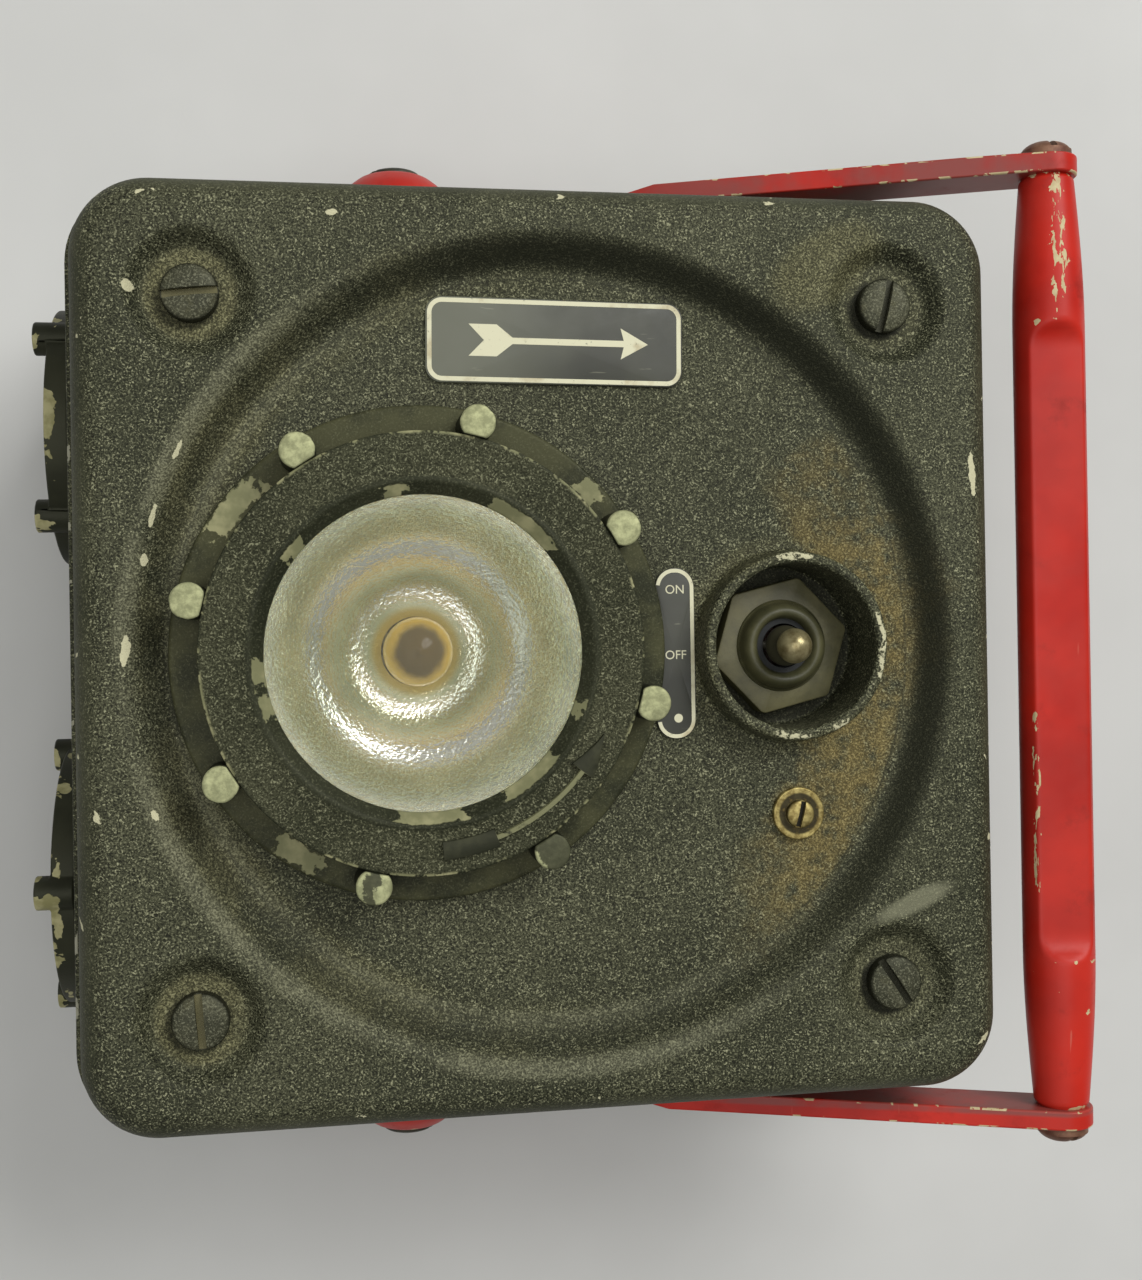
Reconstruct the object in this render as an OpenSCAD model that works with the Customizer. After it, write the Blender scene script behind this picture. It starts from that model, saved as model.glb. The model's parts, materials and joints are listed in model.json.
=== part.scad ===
// Square cast emergency lantern with a screwed lens ring, a guarded toggle switch,
// two screwed battery caps and a swinging bail handle. It lies on its rear face,
// with the lens facing +Z and the battery caps facing -X.

/* [Case] */
// Width of the square case
case_w = 148.5; // [146:0.5:152]
// Depth of the case shell from its rear face to its rim
case_d = 62; // [60:0.5:68]
// Thickness of the case walls
case_wall = 3.2; // [2.4:0.1:4]
// Radius of the case's upright corners
case_corner_r = 13; // [10:0.5:16]
// Width of the thick rim that the cover is screwed to
rim_w = 7; // [5:0.5:8]
// Height of the thick rim
rim_h = 6; // [4:0.5:8]

/* [Cover] */
// Width of the square cover
cover_w = 144.5; // [143:0.5:146]
// Height of the cover from the gasket to its face
cover_h = 11.5; // [10.5:0.5:14]
// Radius of the cover's upright corners
cover_corner_r = 12; // [10:0.5:15]
// Rounding of the cover's front edge
cover_edge_r = 5; // [3:0.5:6]
// Thickness of the cover's plate
cover_wall = 3; // [2.4:0.1:3.4]
// Radius of the dish at the cover's face
dish_r = 65; // [63.5:0.5:66]
// Radius of the dish's flat floor
dish_floor_r = 59; // [58.5:0.5:60]
// Depth of the dish
dish_depth = 4.5; // [3.5:0.25:5]
// Radius of the hollow under the dish plate
hollow_r = 63; // [60:0.5:63.5]
// Thickness of the gasket between case and cover
gasket_t = 1.5; // [1:0.1:2]
// Spacing of the four cover screws
screw_pitch = 108.9; // [107:0.1:110]
// Radius of a screw pocket's flat floor
pocket_floor_r = 7; // [6:0.25:7.5]
// Radius of a screw pocket at the cover's face
pocket_r = 9.6; // [8.5:0.1:10]
// Depth of a screw pocket
pocket_depth = 3; // [2:0.25:3.5]

/* [Lens] */
// Place of the lens axis across the cover
lens_x = -20.5; // [-21.5:0.25:-20]
// Outer radius of the threaded lens neck
neck_r = 29.5; // [29:0.1:30]
// Wall of the lens neck
neck_wall = 2.6; // [2:0.1:3]
// Height of the neck's top over the cover's face
neck_rise = 0.5; // [0:0.1:1.5]
// Thickness of the lens gasket
lens_gasket_t = 1; // [0.6:0.1:1.5]
// Thickness of the lens
lens_t = 2.5; // [2:0.1:3]
// Radius of the ring's flange
ring_flange_r = 37; // [36:0.25:37.5]
// Thickness of the ring's flange
ring_flange_t = 3; // [2:0.25:4]
// Radius of the ring's raised part
ring_r = 32.8; // [32.4:0.1:33.4]
// Thickness of the lip over the lens
ring_lip_t = 2; // [1.5:0.1:2.5]
// Radius of the opening over the lens
ring_open_r = 24.2; // [23:0.1:25]
// Radius of the circle that the ring's pegs stand on
ring_peg_circle_r = 35; // [34.5:0.1:35.4]
// Radius of a ring peg
peg_r = 2.75; // [2.2:0.05:3]
// Number of ring pegs
ring_pegs = 8; // [6:1:8]
// Angle of the first ring peg
ring_peg_turn = 31.5; // [0:0.5:45]
// Height of the ring pegs over the ring's top
ring_peg_rise = 0.6; // [0.2:0.1:1.5]

/* [Lamp] */
// Focal length of the reflector
focal_l = 8; // [7.5:0.1:9]
// Radius of the reflector's mouth
mouth_r = 25; // [24.4:0.1:25.2]
// Radius of the hole for the bulb
bulb_hole_r = 6.4; // [6.1:0.1:7]
// Wall of the reflector
reflector_wall = 0.8; // [0.6:0.1:1.2]
// Radius of the bulb's glass
bulb_r = 5.6; // [5:0.1:5.8]
// Height of the bulb's glass over its flange
bulb_h = 15; // [13:0.5:17]
// Radius of the lamp socket
socket_r = 9.5; // [9:0.1:11]
// Height of the lamp socket over its base
socket_h = 18; // [16:0.5:19]
// Radius of the bulb's brass base
lamp_base_r = 4.8; // [4.4:0.1:5]

/* [Switch] */
// Place of the switch axis across the cover
switch_x = 38.3; // [37.5:0.1:39]
// Outer radius of the guard collar
collar_r = 14.7; // [14.4:0.1:15]
// Wall of the guard collar
collar_wall = 2.4; // [2:0.1:2.6]
// Height of the collar's rim over the cover's face
collar_rise = 2; // [1:0.1:3]
// Depth of the switch well under the cover's face
well_depth = 11.5; // [11:0.1:12]
// Thickness of the well's floor
well_floor_t = 2.5; // [2:0.1:3]
// Width of the hexagon nut across its flats
nut_af = 19; // [18:0.1:19.5]
// Height of the hexagon nut
nut_h = 4; // [3:0.1:4.2]
// Radius of the switch's threaded bushing
bushing_r = 5.95; // [5.6:0.05:6.2]
// Radius of the bushing's bore
bushing_bore_r = 3.6; // [3.5:0.05:3.8]
// Radius of the lever's tip
lever_tip_r = 3; // [2.6:0.05:3.1]
// Length of the switch body along the lever's throw
switch_body_l = 30; // [26:0.5:31]
// Width of the switch body
switch_body_w = 18; // [16:0.5:20]
// Height of the switch body
switch_body_h = 22; // [18:0.5:23]

/* [Impact switch] */
// Place of the impact switch's screw across the cover
impact_x = 39.5; // [39:0.1:40]
// Place of the impact switch's screw along the cover
impact_y = -27; // [-27.5:0.1:-26.5]
// Length of the impact switch's block
impact_l = 33; // [31:0.5:33.5]
// Distance from the block's left end to its screw
impact_back = 22; // [21:0.5:23]
// Width of the impact switch's block
impact_w = 17; // [15:0.5:18]
// Height of the impact switch's block
impact_h = 18; // [17.5:0.1:18.4]
// Radius of the bore for the sliding weight
impact_bore_r = 5; // [4.6:0.1:5.2]
// Length of the sliding weight
weight_l = 12; // [10:0.5:13]
// Radius of the brass ferrule round the screw
ferrule_r = 4.25; // [3.8:0.05:4.6]

/* [Batteries] */
// Distance of each battery row from the middle
row_y = 38; // [37.6:0.1:38.6]
// Distance from the case's rim down to the battery rows
row_drop = 32; // [31:0.25:33.5]
// Radius of a cell
cell_r = 16.9; // [16.4:0.05:17]
// Width of the case that a row of two cells leaves to its contacts, spring and cap
cell_room = 25.5; // [24.7:0.1:27.5]
// Wall of the battery sleeve
sleeve_wall = 1; // [0.8:0.1:1.2]
// Radius of the machined boss under a cap
boss_r = 21.5; // [21:0.1:21.8]
// Height of the boss over the case's side
boss_rise = 0.6; // [0.5:0.1:1.4]
// Thickness of a cap's gasket
cap_gasket_t = 0.8; // [0.6:0.1:1.4]
// Radius of a battery cap
cap_r = 22; // [21.6:0.1:22.4]
// Thickness of a battery cap's flange
cap_t = 3.8; // [3.5:0.1:5]
// Length of a battery cap's threaded plug
cap_plug_l = 12; // [10:0.5:13]
// Radius of the circle that a cap's pegs stand on
cap_peg_circle_r = 20.7; // [20:0.1:21]
// Height of a cap's pegs over its flange
cap_peg_rise = 2.4; // [1.5:0.1:3]
// Number of pegs on a cap
cap_pegs = 4; // [3:1:6]

/* [Handle] */
// Place of the pivot axis across the case
pivot_x = -21.5; // [-22:0.25:-20]
// Height of the pivot axis over the rear face
pivot_z = 30; // [29:0.25:32]
// Tilt of the handle as it lies
handle_tilt = 20; // [16:0.5:24]
// Distance from the case's side to the grip's axis
grip_out = 10.9; // [10:0.1:14]
// Width of an arm's strap
strap_w = 10; // [9:0.25:11]
// Thickness of an arm's strap
strap_t = 3.2; // [2.8:0.1:3.6]
// Gap between the case and an arm
arm_gap = 0.8; // [0.6:0.1:1.2]
// Outward step in an arm
step_out = 1.5; // [1.2:0.1:2.4]
// Distance from the pivot to the outward step
step_at = 42; // [38:0.5:46]
// Outward flare of an arm from the step to the grip
flare = 0.8; // [0.4:0.1:1.5]
// Radius of the conical pivot boss where it meets the strap
eye_r = 11; // [10:0.25:12]
// Radius of the conical pivot boss at its top
eye_top_r = 6.2; // [5.8:0.1:7]
// Height of the conical pivot boss over the strap
eye_rise = 5.2; // [4.5:0.1:6]
// Radius of the pivot screw's shoulder
pivot_r = 4.2; // [3.8:0.05:4.5]
// Radius of the grip in its middle
grip_r = 5.7; // [5.4:0.1:6.2]
// Radius of the grip at its ends
grip_end_r = 4.8; // [4.5:0.1:5.1]
// Length over which the grip swells from its end
grip_swell_l = 27; // [22:0.5:30]
// Length of the flat along the grip
flat_l = 84; // [78:1:90]
// Distance of the flat from the grip's axis
flat_at = 3.8; // [3.6:0.1:4.4]
// Turn of the flat about the grip, away from the case
flat_turn = 12; // [0:1:20]
// Radius of the scooped run-outs at the ends of the flat
scoop_r = 22; // [16:1:26]

/* [Plates and clearances] */
// Length of the arrow plate
arrow_plate_l = 40.5; // [38:0.5:41]
// Height of the arrow plate
arrow_plate_h = 13; // [12:0.25:13.5]
// Thickness of both plates
plate_t = 0.6; // [0.4:0.1:0.9]
// Length of the switch plate
switch_plate_l = 27; // [25:0.5:28]
// Width of the switch plate
switch_plate_w = 7; // [6:0.25:7.5]
// Radial clearance of a screw in its hole
hole_clear = 0.2; // [0.1:0.05:0.4]
// Radial clearance of a running fit
run_clear = 0.06; // [0.03:0.01:0.09]
// Radial clearance that stands for a thread
thread_clear = 0.3; // [0.25:0.05:0.5]
// Gap between pieces that move past each other
move_gap = 0.5; // [0.4:0.05:0.7]

/* [Hidden] */
$fn = 64;
eps = 0.01;
// Gap between still pieces that seat on each other
seat_gap = 0.1;
case_half = case_w / 2;
cavity_half = case_half - case_wall;
cover_z = case_d + gasket_t;
face_z = cover_z + cover_h;
floor_z = face_z - dish_depth;
plate_z = floor_z - cover_wall;

// Cover screws
screw_head_r = 4.5;
screw_head_h = 2.7;
screw_r = 2.4;
screw_l = 20;
screw_slot_turns = [7, 78, 90, -42];
lug_w = 22;
lug_h = 12;

// Lens stack
neck_in_r = neck_r - neck_wall;
neck_top_z = face_z + neck_rise;
lens_z = neck_top_z + lens_gasket_t;
lip_z = lens_z + lens_t;
ring_top_z = lip_z + ring_lip_t;
ring_z = floor_z + move_gap;
flange_top_z = ring_z + ring_flange_t;
ring_bore_r = neck_r + thread_clear;
lens_r = neck_r - 0.2;
ring_edge = 1;
flange_edge = 0.6;
lip_bevel = 1.2;

// Reflector and lamp
ledge_w = 1.2;
ledge_r = neck_in_r - ledge_w;
reflector_rim_t = 1.2;
reflector_rim_z = neck_top_z - reflector_rim_t - seat_gap;
vertex_z = reflector_rim_z - mouth_r * mouth_r / (4 * focal_l);
lamp_flange_r = 7.4;
lamp_flange_t = 0.8;
lamp_flange_z = vertex_z - 3.4;
socket_base_t = 3;
socket_base_r = 16;
socket_z = lamp_flange_z - socket_h - socket_base_t;
socket_bore_r = lamp_base_r + hole_clear;
lamp_base_l = 13;
lamp_tip_r = 2;
lamp_tip_h = 1.4;
lamp_spring_r = 2.6;
lamp_spring_wire_r = 0.35;
post_r = 4;
post_at = 12.2;
post_screw_r = 1.5;
post_screw_head_r = 2.7;
post_screw_head_h = 1.6;
post_screw_l = 10;

// Toggle switch
well_z = face_z - well_depth;
well_r = collar_r - collar_wall;
panel_z = well_z - well_floor_t;
nut_top_z = well_z + nut_h;
nut_corner_r = nut_af / sqrt(3);
nut_turn = 16;
nut_bevel = 2;
nut_top_r = nut_af / 2 - 0.3;
bushing_top_z = nut_top_z + 1.2;
lever_z = nut_top_z - 1.6;
lever_tip_z = face_z + 0.4 - lever_tip_r;
lever_neck_r = 1.9;
lever_ball_r = 3.1;
lever_tail_l = 7;
lever_tail_r = 1.4;
toggle_pin_r = 0.8;
boot_r = 7;
boot_h = 3;
boot_hole_r = 3.9;
lug_t = 0.8;
lug_l = 5;
lug_pitch = 9;

// Impact switch
impact_left = impact_x - impact_back;
impact_z = plate_z - impact_h;
impact_floor_t = 2.4;
impact_axis_z = impact_z + impact_floor_t + impact_bore_r;
weight_r = impact_bore_r - seat_gap;
weight_left = impact_left + 4;
weight_right = weight_left + weight_l;
plug_l = 5;
plug_left = impact_left + impact_l - plug_l;
stud_r = 1.2;
stud_l = 2;
spring_wire_r = 0.4;
impact_spring_r = weight_r - 1.2;
impact_spring_turns = 6;
ferrule_shank_r = 3;
ferrule_rise = 1;
small_screw_r = 1.4;
small_screw_head_r = 2.3;
small_screw_head_h = 1.3;
small_screw_l = floor_z + ferrule_rise - plate_z + 4;

// Battery rows
row_z = case_d - row_drop;
sleeve_in_r = cell_r + move_gap;
sleeve_r = sleeve_in_r + sleeve_wall;
bore_r = sleeve_r + hole_clear;
boss_face_x = -case_half - boss_rise;
boss_l = 15;
boss_in_x = -case_half + boss_l;
sleeve_seat = 3;
cap_face_x = boss_face_x - cap_gasket_t;
cap_out_x = cap_face_x - cap_t;
plug_r = bore_r - thread_clear;
plug_in_r = plug_r - 2.6;
end_ring_w = 9;
end_ring_r = bore_r + 2.4;
insulator_t = 2.4;
bridge_t = 0.8;
bridge_w = 8;
bridge_disc_r = 9;
insulator_disc_r = sleeve_in_r - 0.4;
bridge_x = cavity_half - insulator_t - bridge_t;
cell_tip_r = 4.8;
cell_tip_h = 1.6;
cell_l = (case_w - cell_room) / 2;
cells_end_x = bridge_x - 2 * cell_l;
contact_r = 8.5;
contact_t = 0.7;
contact_x = cells_end_x - seat_gap - contact_t;
cap_spring_r = 7.2;
cap_spring_wire_r = 0.6;
cap_spring_turns = 5;

// Handle
arm_l = (case_half + grip_out - pivot_x) / cos(handle_tilt);
arm_in_y = case_half + arm_gap;
arm_out_y = arm_in_y + strap_t;
step_l = 6;
tail_l = 12;
grip_half = arm_in_y + step_out + flare;
strap_end_r = strap_w / 2;
pivot_thread_r = 3;
pivot_thread_l = 10;
pivot_boss_r = 7.5;
pivot_boss_l = 12;
pivot_head_r = 5.4;
pivot_head_h = 2.2;
pivot_washer_r = 9;
washer_gap = 0.3;
grip_screw_head_r = 4.3;
grip_screw_head_h = 2.4;
grip_screw_r = 2.3;
grip_screw_l = 16;

// Plates
arrow_plate_x = 1;
arrow_plate_y = 48.3;
arrow_plate_r = 3;
switch_plate_x = 19.9;

// Leads, each a list of points along its middle
lead_r = 1;
lead_sides = 8;
lead_gap = 0.3;
lug_z = panel_z - switch_body_h - lug_l - lead_gap;
socket_side_x = lens_x + socket_base_r;
stud_end_x = impact_left + impact_l + stud_l;
bridge_lead = [[bridge_x - lead_gap, 0, row_z], [60, 1, row_z], [51, 6, row_z - 2],
               [switch_x + 4.7, lug_pitch, lug_z - 6.7], [switch_x + 0.7, lug_pitch, lug_z - 4.7],
               [switch_x, lug_pitch, lug_z]];
lamp_lead = [[switch_x, 0, lug_z], [switch_x - 1.3, 0, lug_z - 5.7], [30, 0, lug_z - 9.7],
             [16, 0, lug_z - 10.7], [4, 0, lug_z - 7.7], [socket_side_x + 3.5, 0, socket_z - 0.3],
             [socket_side_x + 0.9, 0, socket_z + 1.2]];
impact_lead = [[switch_x, -lug_pitch, lug_z], [switch_x + 0.7, -lug_pitch, lug_z - 5.7],
               [switch_x + 6.7, -11, lug_z - 6.7], [54, -14, lug_z + 0.3], [59, -18, impact_axis_z - 12.9],
               [61, -22, impact_axis_z - 4.9], [stud_end_x + 5.5, impact_y + 1, impact_axis_z - 0.4],
               [stud_end_x + 0.5, impact_y, impact_axis_z]];
return_lead = [[impact_left - stud_l - 0.5, impact_y, impact_axis_z],
               [impact_left - stud_l - 4.5, impact_y, impact_axis_z - 0.9], [5, -22, impact_axis_z - 6.9],
               [0, -16, impact_axis_z - 14.9], [-3, -12, socket_z + 5.7],
               [socket_side_x - 1.8, -9, socket_z + 1.3]];

enamel = [0.24, 0.23, 0.19];
red = [0.72, 0.13, 0.1];
brass = [0.72, 0.58, 0.28];
steel = [0.62, 0.62, 0.6];
black = [0.1, 0.1, 0.1];
rubber = [0.14, 0.14, 0.15];
phenolic = [0.3, 0.18, 0.1];

// Points along a smooth step from 0 to 1
function smooth(t) = t * t * (3 - 2 * t);

// Outline of a soft-edged round hollow, from its floor up to and past its edge
function hollow_outline(floor_r, top_r, depth, n) = concat(
  [[0, -depth]],
  [for (i = [0:n]) [floor_r + (top_r - floor_r) * i / n, depth * (smooth(i / n) - 1)]],
  [[top_r, 1], [0, 1]]);

function unit(v) = v / norm(v);
function along(p, i) = unit(p[min(i + 1, len(p) - 1)] - p[max(i - 1, 0)]);

// One ring of a tube's skin round the point c, square to the direction t
function skin_ring(c, t, r, sides, ref) = let (u = unit(cross(t, ref)), w = cross(u, t))
  [for (k = [0:sides - 1]) c + r * (cos(360 * k / sides) * u + sin(360 * k / sides) * w)];

// A point of the smooth curve through the list p, at the part f of the stretch i
function curve_point(p, i, f) = let (
  a = p[max(i - 1, 0)], b = p[i], c = p[i + 1], d = p[min(i + 2, len(p) - 1)])
  0.5 * (2 * b + (c - a) * f + (2 * a - 5 * b + 4 * c - d) * f * f + (3 * b - 3 * c + d - a) * f * f * f);

function smooth_path(p, n) = concat(
  [for (i = [0:len(p) - 2]) for (k = [0:n - 1]) curve_point(p, i, k / n)], [p[len(p) - 1]]);

function helix(r, h, turns, n) = [for (i = [0:turns * n])
  [r * cos(360 * i / n), r * sin(360 * i / n), h * i / (turns * n)]];

// Closed round tube along a list of points
module tube(p, r, sides, ref) {
  n = len(p);
  rings = [for (i = [0:n - 1]) skin_ring(p[i], along(p, i), r, sides, ref)];
  sides_list = [for (i = [0:n - 2]) for (k = [0:sides - 1])
    let (a = i * sides + k, b = i * sides + (k + 1) % sides) [[a, b, b + sides], [a, b + sides, a + sides]]];
  polyhedron(
    points = [for (ring = rings) for (q = ring) q],
    faces = concat(
      [for (pair = sides_list) for (f = pair) f],
      [[for (k = [sides - 1:-1:0]) k], [for (k = [0:sides - 1]) (n - 1) * sides + k]]));
}

module spring(r, wire_r, h, turns) {
  translate([0, 0, wire_r])
    tube(helix(r, h - 2 * wire_r, turns, 10), wire_r, 6, [0, 0, 1]);
}

module lead(p) {
  color("firebrick") tube(smooth_path(p, 3), lead_r, lead_sides, [0.31, 0.95, 0.05]);
}

module rounded_square(w, r) {
  square([w, w - 2 * r], center = true);
  square([w - 2 * r, w], center = true);
  for (x = [-1, 1], y = [-1, 1]) translate([x * (w / 2 - r), y * (w / 2 - r)]) circle(r);
}

module slab(w, r, h) {
  linear_extrude(h) rounded_square(w, r);
}

module rounded_plate(l, w, r, h) {
  linear_extrude(h) {
    square([l, w - 2 * r], center = true);
    square([l - 2 * r, w], center = true);
    for (x = [-1, 1], y = [-1, 1]) translate([x * (l / 2 - r), y * (w / 2 - r)]) circle(r);
  }
}

module pipe(r, in_r, h) {
  difference() {
    cylinder(r = r, h = h);
    translate([0, 0, -1]) cylinder(r = in_r, h = h + 2);
  }
}

// Repeats its children at the four cover screws, with each screw's slot angle in $slot
module at_screws() {
  for (i = [0:3]) let ($slot = screw_slot_turns[i], x = i % 2 == 0 ? -1 : 1, y = i < 2 ? 1 : -1)
    translate([x * screw_pitch / 2, y * screw_pitch / 2, 0]) children();
}

// Turns +Z to +X, so that what is drawn upwards runs along a battery row
module row_at(x, side) {
  translate([x, side * row_y, row_z]) rotate([0, 90, 0]) children();
}

// Slotted screw seated at the origin, with its head upwards
module slotted_screw(head_r, head_h, shank_r, shank_l, turn) {
  dome = head_h * 0.4;
  slot_w = head_r * 0.3;
  difference() {
    union() {
      rotate_extrude() polygon(concat(
        [[0, 0], [head_r, 0]],
        [for (a = [0:15:90]) [head_r - dome + dome * cos(a), head_h - dome + dome * sin(a)]],
        [[0, head_h]]));
      translate([0, 0, -shank_l]) cylinder(r = shank_r, h = shank_l + eps);
    }
    rotate(turn) translate([-head_r - 1, -slot_w / 2, head_h * 0.5]) cube([2 * head_r + 2, slot_w, head_h]);
  }
}

module case_shell() {
  color(enamel) difference() {
    union() {
      difference() {
        slab(case_w, case_corner_r, case_d);
        translate([0, 0, case_wall])
          slab(2 * cavity_half, case_corner_r - case_wall, case_d - rim_h - case_wall);
        translate([0, 0, case_wall]) slab(case_w - 2 * rim_w, case_corner_r - rim_w, case_d);
      }
      corner_lugs();
      pivot_bosses();
      for (side = [-1, 1]) {
        row_at(boss_face_x, side) cylinder(r = boss_r, h = boss_in_x - boss_face_x);
        row_at(cavity_half - end_ring_w, side) cylinder(r = end_ring_r, h = end_ring_w + 1);
      }
      for (x = [-1, 1]) translate([lens_x + x * post_at, 0, case_wall - 1])
        cylinder(r = post_r, h = socket_z - case_wall + 1);
    }
    for (side = [-1, 1]) {
      row_at(boss_face_x - 1, side) cylinder(r = bore_r, h = boss_in_x - boss_face_x + 2);
      row_at(cavity_half - end_ring_w - 1, side) cylinder(r = bore_r, h = end_ring_w + 1);
    }
    translate([cavity_half - end_ring_w - 1, -row_y, row_z - bridge_w / 2 - move_gap])
      cube([end_ring_w + 1, 2 * row_y, bridge_w + 2 * move_gap]);
    at_screws() translate([0, 0, cover_z + cover_h - pocket_depth - screw_l - 1])
      cylinder(r = screw_r + hole_clear, h = screw_l + 2);
    for (side = [-1, 1]) pivot_hole(side);
    for (x = [-1, 1]) translate([lens_x + x * post_at, 0, socket_z - post_screw_l])
      cylinder(r = post_screw_r + hole_clear, h = post_screw_l + 1);
  }
}

// Square lugs in the upper corners that take the cover screws
module corner_lugs() {
  intersection() {
    translate([0, 0, case_d - lug_h]) slab(case_w - 1, case_corner_r - 0.5, lug_h);
    for (x = [-1, 1], y = [-1, 1])
      translate([x * (case_half - lug_w / 2 - 1), y * (case_half - lug_w / 2 - 1), case_d - lug_h / 2])
        cube([lug_w + 2, lug_w + 2, lug_h], center = true);
  }
}

module pivot_bosses() {
  for (side = [-1, 1]) translate([pivot_x, side * (cavity_half - pivot_boss_l / 2 + 0.5), pivot_z])
    rotate([90, 0, 0]) cylinder(r = pivot_boss_r, h = pivot_boss_l + 1, center = true);
}

module pivot_hole(side) {
  translate([pivot_x, side * (case_half - pivot_thread_l / 2), pivot_z])
    rotate([90, 0, 0]) cylinder(r = pivot_thread_r + hole_clear, h = pivot_thread_l + 2, center = true);
}

// Rounded block of the cover before its dish is sunk
module cover_block() {
  hull() for (x = [-1, 1], y = [-1, 1])
    translate([x * (cover_w / 2 - cover_corner_r), y * (cover_w / 2 - cover_corner_r), cover_z])
      rotate_extrude($fn = 48) polygon(concat(
        [[0, 0], [cover_corner_r, 0]],
        [for (a = [0:15:90]) [
          cover_corner_r - cover_edge_r * (1 - cos(a)), cover_h - cover_edge_r * (1 - sin(a))]],
        [[0, cover_h]]));
}

module front_cover() {
  color(enamel) difference() {
    union() {
      difference() {
        cover_block();
        translate([0, 0, face_z]) rotate_extrude($fn = 96)
          polygon(hollow_outline(dish_floor_r, dish_r, dish_depth, 10));
        translate([0, 0, cover_z - 1]) cylinder(r = hollow_r, h = plate_z - cover_z + 1);
        at_screws() translate([0, 0, face_z]) rotate_extrude()
          polygon(hollow_outline(pocket_floor_r, pocket_r, pocket_depth, 6));
      }
      translate([lens_x, 0, plate_z]) cylinder(r = neck_r, h = neck_top_z - plate_z);
      translate([switch_x, 0, panel_z]) cylinder(r = collar_r, h = face_z + collar_rise - panel_z);
    }
    translate([lens_x, 0, cover_z]) cylinder(r = ledge_r, h = neck_top_z - cover_z + 1);
    translate([lens_x, 0, reflector_rim_z]) cylinder(r = neck_in_r, h = neck_top_z);
    translate([switch_x, 0, well_z]) cylinder(r = well_r, h = well_depth + collar_rise + 1);
    translate([switch_x, 0, panel_z - 1]) cylinder(r = bushing_r + hole_clear, h = well_floor_t + 2);
    translate([impact_x, impact_y, plate_z - 1])
      cylinder(r = ferrule_shank_r + hole_clear, h = cover_wall + 2);
    at_screws() translate([0, 0, cover_z - 1]) cylinder(r = screw_r + hole_clear, h = cover_h);
  }
}

module cover_gasket() {
  color(rubber) translate([0, 0, case_d]) difference() {
    slab(cover_w - 1, cover_corner_r - 0.5, gasket_t);
    translate([0, 0, -1]) cylinder(r = hollow_r + 1, h = gasket_t + 2);
    at_screws() translate([0, 0, -1]) cylinder(r = screw_r + hole_clear, h = gasket_t + 2);
  }
}

module cover_screws() {
  color(steel) at_screws() translate([0, 0, face_z - pocket_depth])
    slotted_screw(screw_head_r, screw_head_h, screw_r, screw_l, $slot);
}

module arrow_plate() {
  color(black) translate([arrow_plate_x, arrow_plate_y, floor_z])
    rounded_plate(arrow_plate_l, arrow_plate_h, arrow_plate_r, plate_t);
}

module switch_plate() {
  color(black) difference() {
    translate([switch_plate_x, 0, floor_z])
      rounded_plate(switch_plate_w, switch_plate_l, switch_plate_w / 2 - 0.1, plate_t);
    translate([lens_x, 0, floor_z - 1]) cylinder(r = ring_flange_r + move_gap, h = plate_t + 2);
  }
}

module lens_ring() {
  color(black) translate([lens_x, 0, 0]) {
    rotate_extrude($fn = 96) polygon(concat(
      [[ring_bore_r, ring_z], [ring_flange_r - flange_edge, ring_z], [ring_flange_r, ring_z + flange_edge],
       [ring_flange_r, flange_top_z - flange_edge], [ring_flange_r - flange_edge, flange_top_z],
       [ring_r, flange_top_z]],
      [for (a = [0:30:90]) [
        ring_r - ring_edge + ring_edge * cos(a), ring_top_z - ring_edge + ring_edge * sin(a)]],
      [[ring_open_r + lip_bevel, ring_top_z], [ring_open_r, ring_top_z - lip_bevel],
       [ring_open_r, lip_z], [ring_bore_r, lip_z]]));
    for (i = [0:ring_pegs - 1]) difference() {
      rotate(ring_peg_turn + 360 * i / ring_pegs) translate([ring_peg_circle_r, 0, ring_z + flange_edge])
        cylinder(r = peg_r, h = ring_top_z + ring_peg_rise - ring_z - flange_edge);
      cylinder(r = ring_r - 0.1, h = ring_top_z + 5);
    }
  }
}

module lens() {
  color([0.8, 0.85, 0.85, 0.5]) translate([lens_x, 0, lens_z]) cylinder(r = lens_r, h = lens_t);
}

module lens_gasket() {
  color(rubber) translate([lens_x, 0, neck_top_z]) pipe(lens_r, mouth_r + 0.4, lens_gasket_t);
}

// Parabolic bowl with a rim that lies on the ledge in the neck
module reflector() {
  steps = 12;
  inner = [for (i = [0:steps]) let (r = bulb_hole_r + (mouth_r - bulb_hole_r) * i / steps)
    [r, vertex_z + r * r / (4 * focal_l)]];
  outer = [for (i = [steps:-1:0]) inner[i] + [0.35, -1] * reflector_wall];
  top = reflector_rim_z + reflector_rim_t;
  rim_r = neck_in_r - hole_clear;
  color("silver") translate([lens_x, 0, 0]) rotate_extrude($fn = 96) polygon(concat(
    inner,
    [[mouth_r, top], [rim_r, top], [rim_r, reflector_rim_z], [ledge_r - hole_clear, reflector_rim_z]],
    outer));
}

module lamp_bulb() {
  neck = bulb_r * 0.8;
  color([0.95, 0.85, 0.6, 0.6]) translate([lens_x, 0, lamp_flange_z + lamp_flange_t]) {
    cylinder(r = neck, h = bulb_h - bulb_r);
    translate([0, 0, bulb_h - bulb_r]) sphere(bulb_r);
  }
}

module lamp_base() {
  color(brass) translate([lens_x, 0, lamp_flange_z]) {
    cylinder(r = lamp_flange_r, h = lamp_flange_t);
    translate([0, 0, -lamp_base_l]) cylinder(r = lamp_base_r, h = lamp_base_l + eps);
    translate([0, 0, -lamp_base_l - lamp_tip_h]) cylinder(r = lamp_tip_r, h = lamp_tip_h + eps);
  }
}

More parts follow.
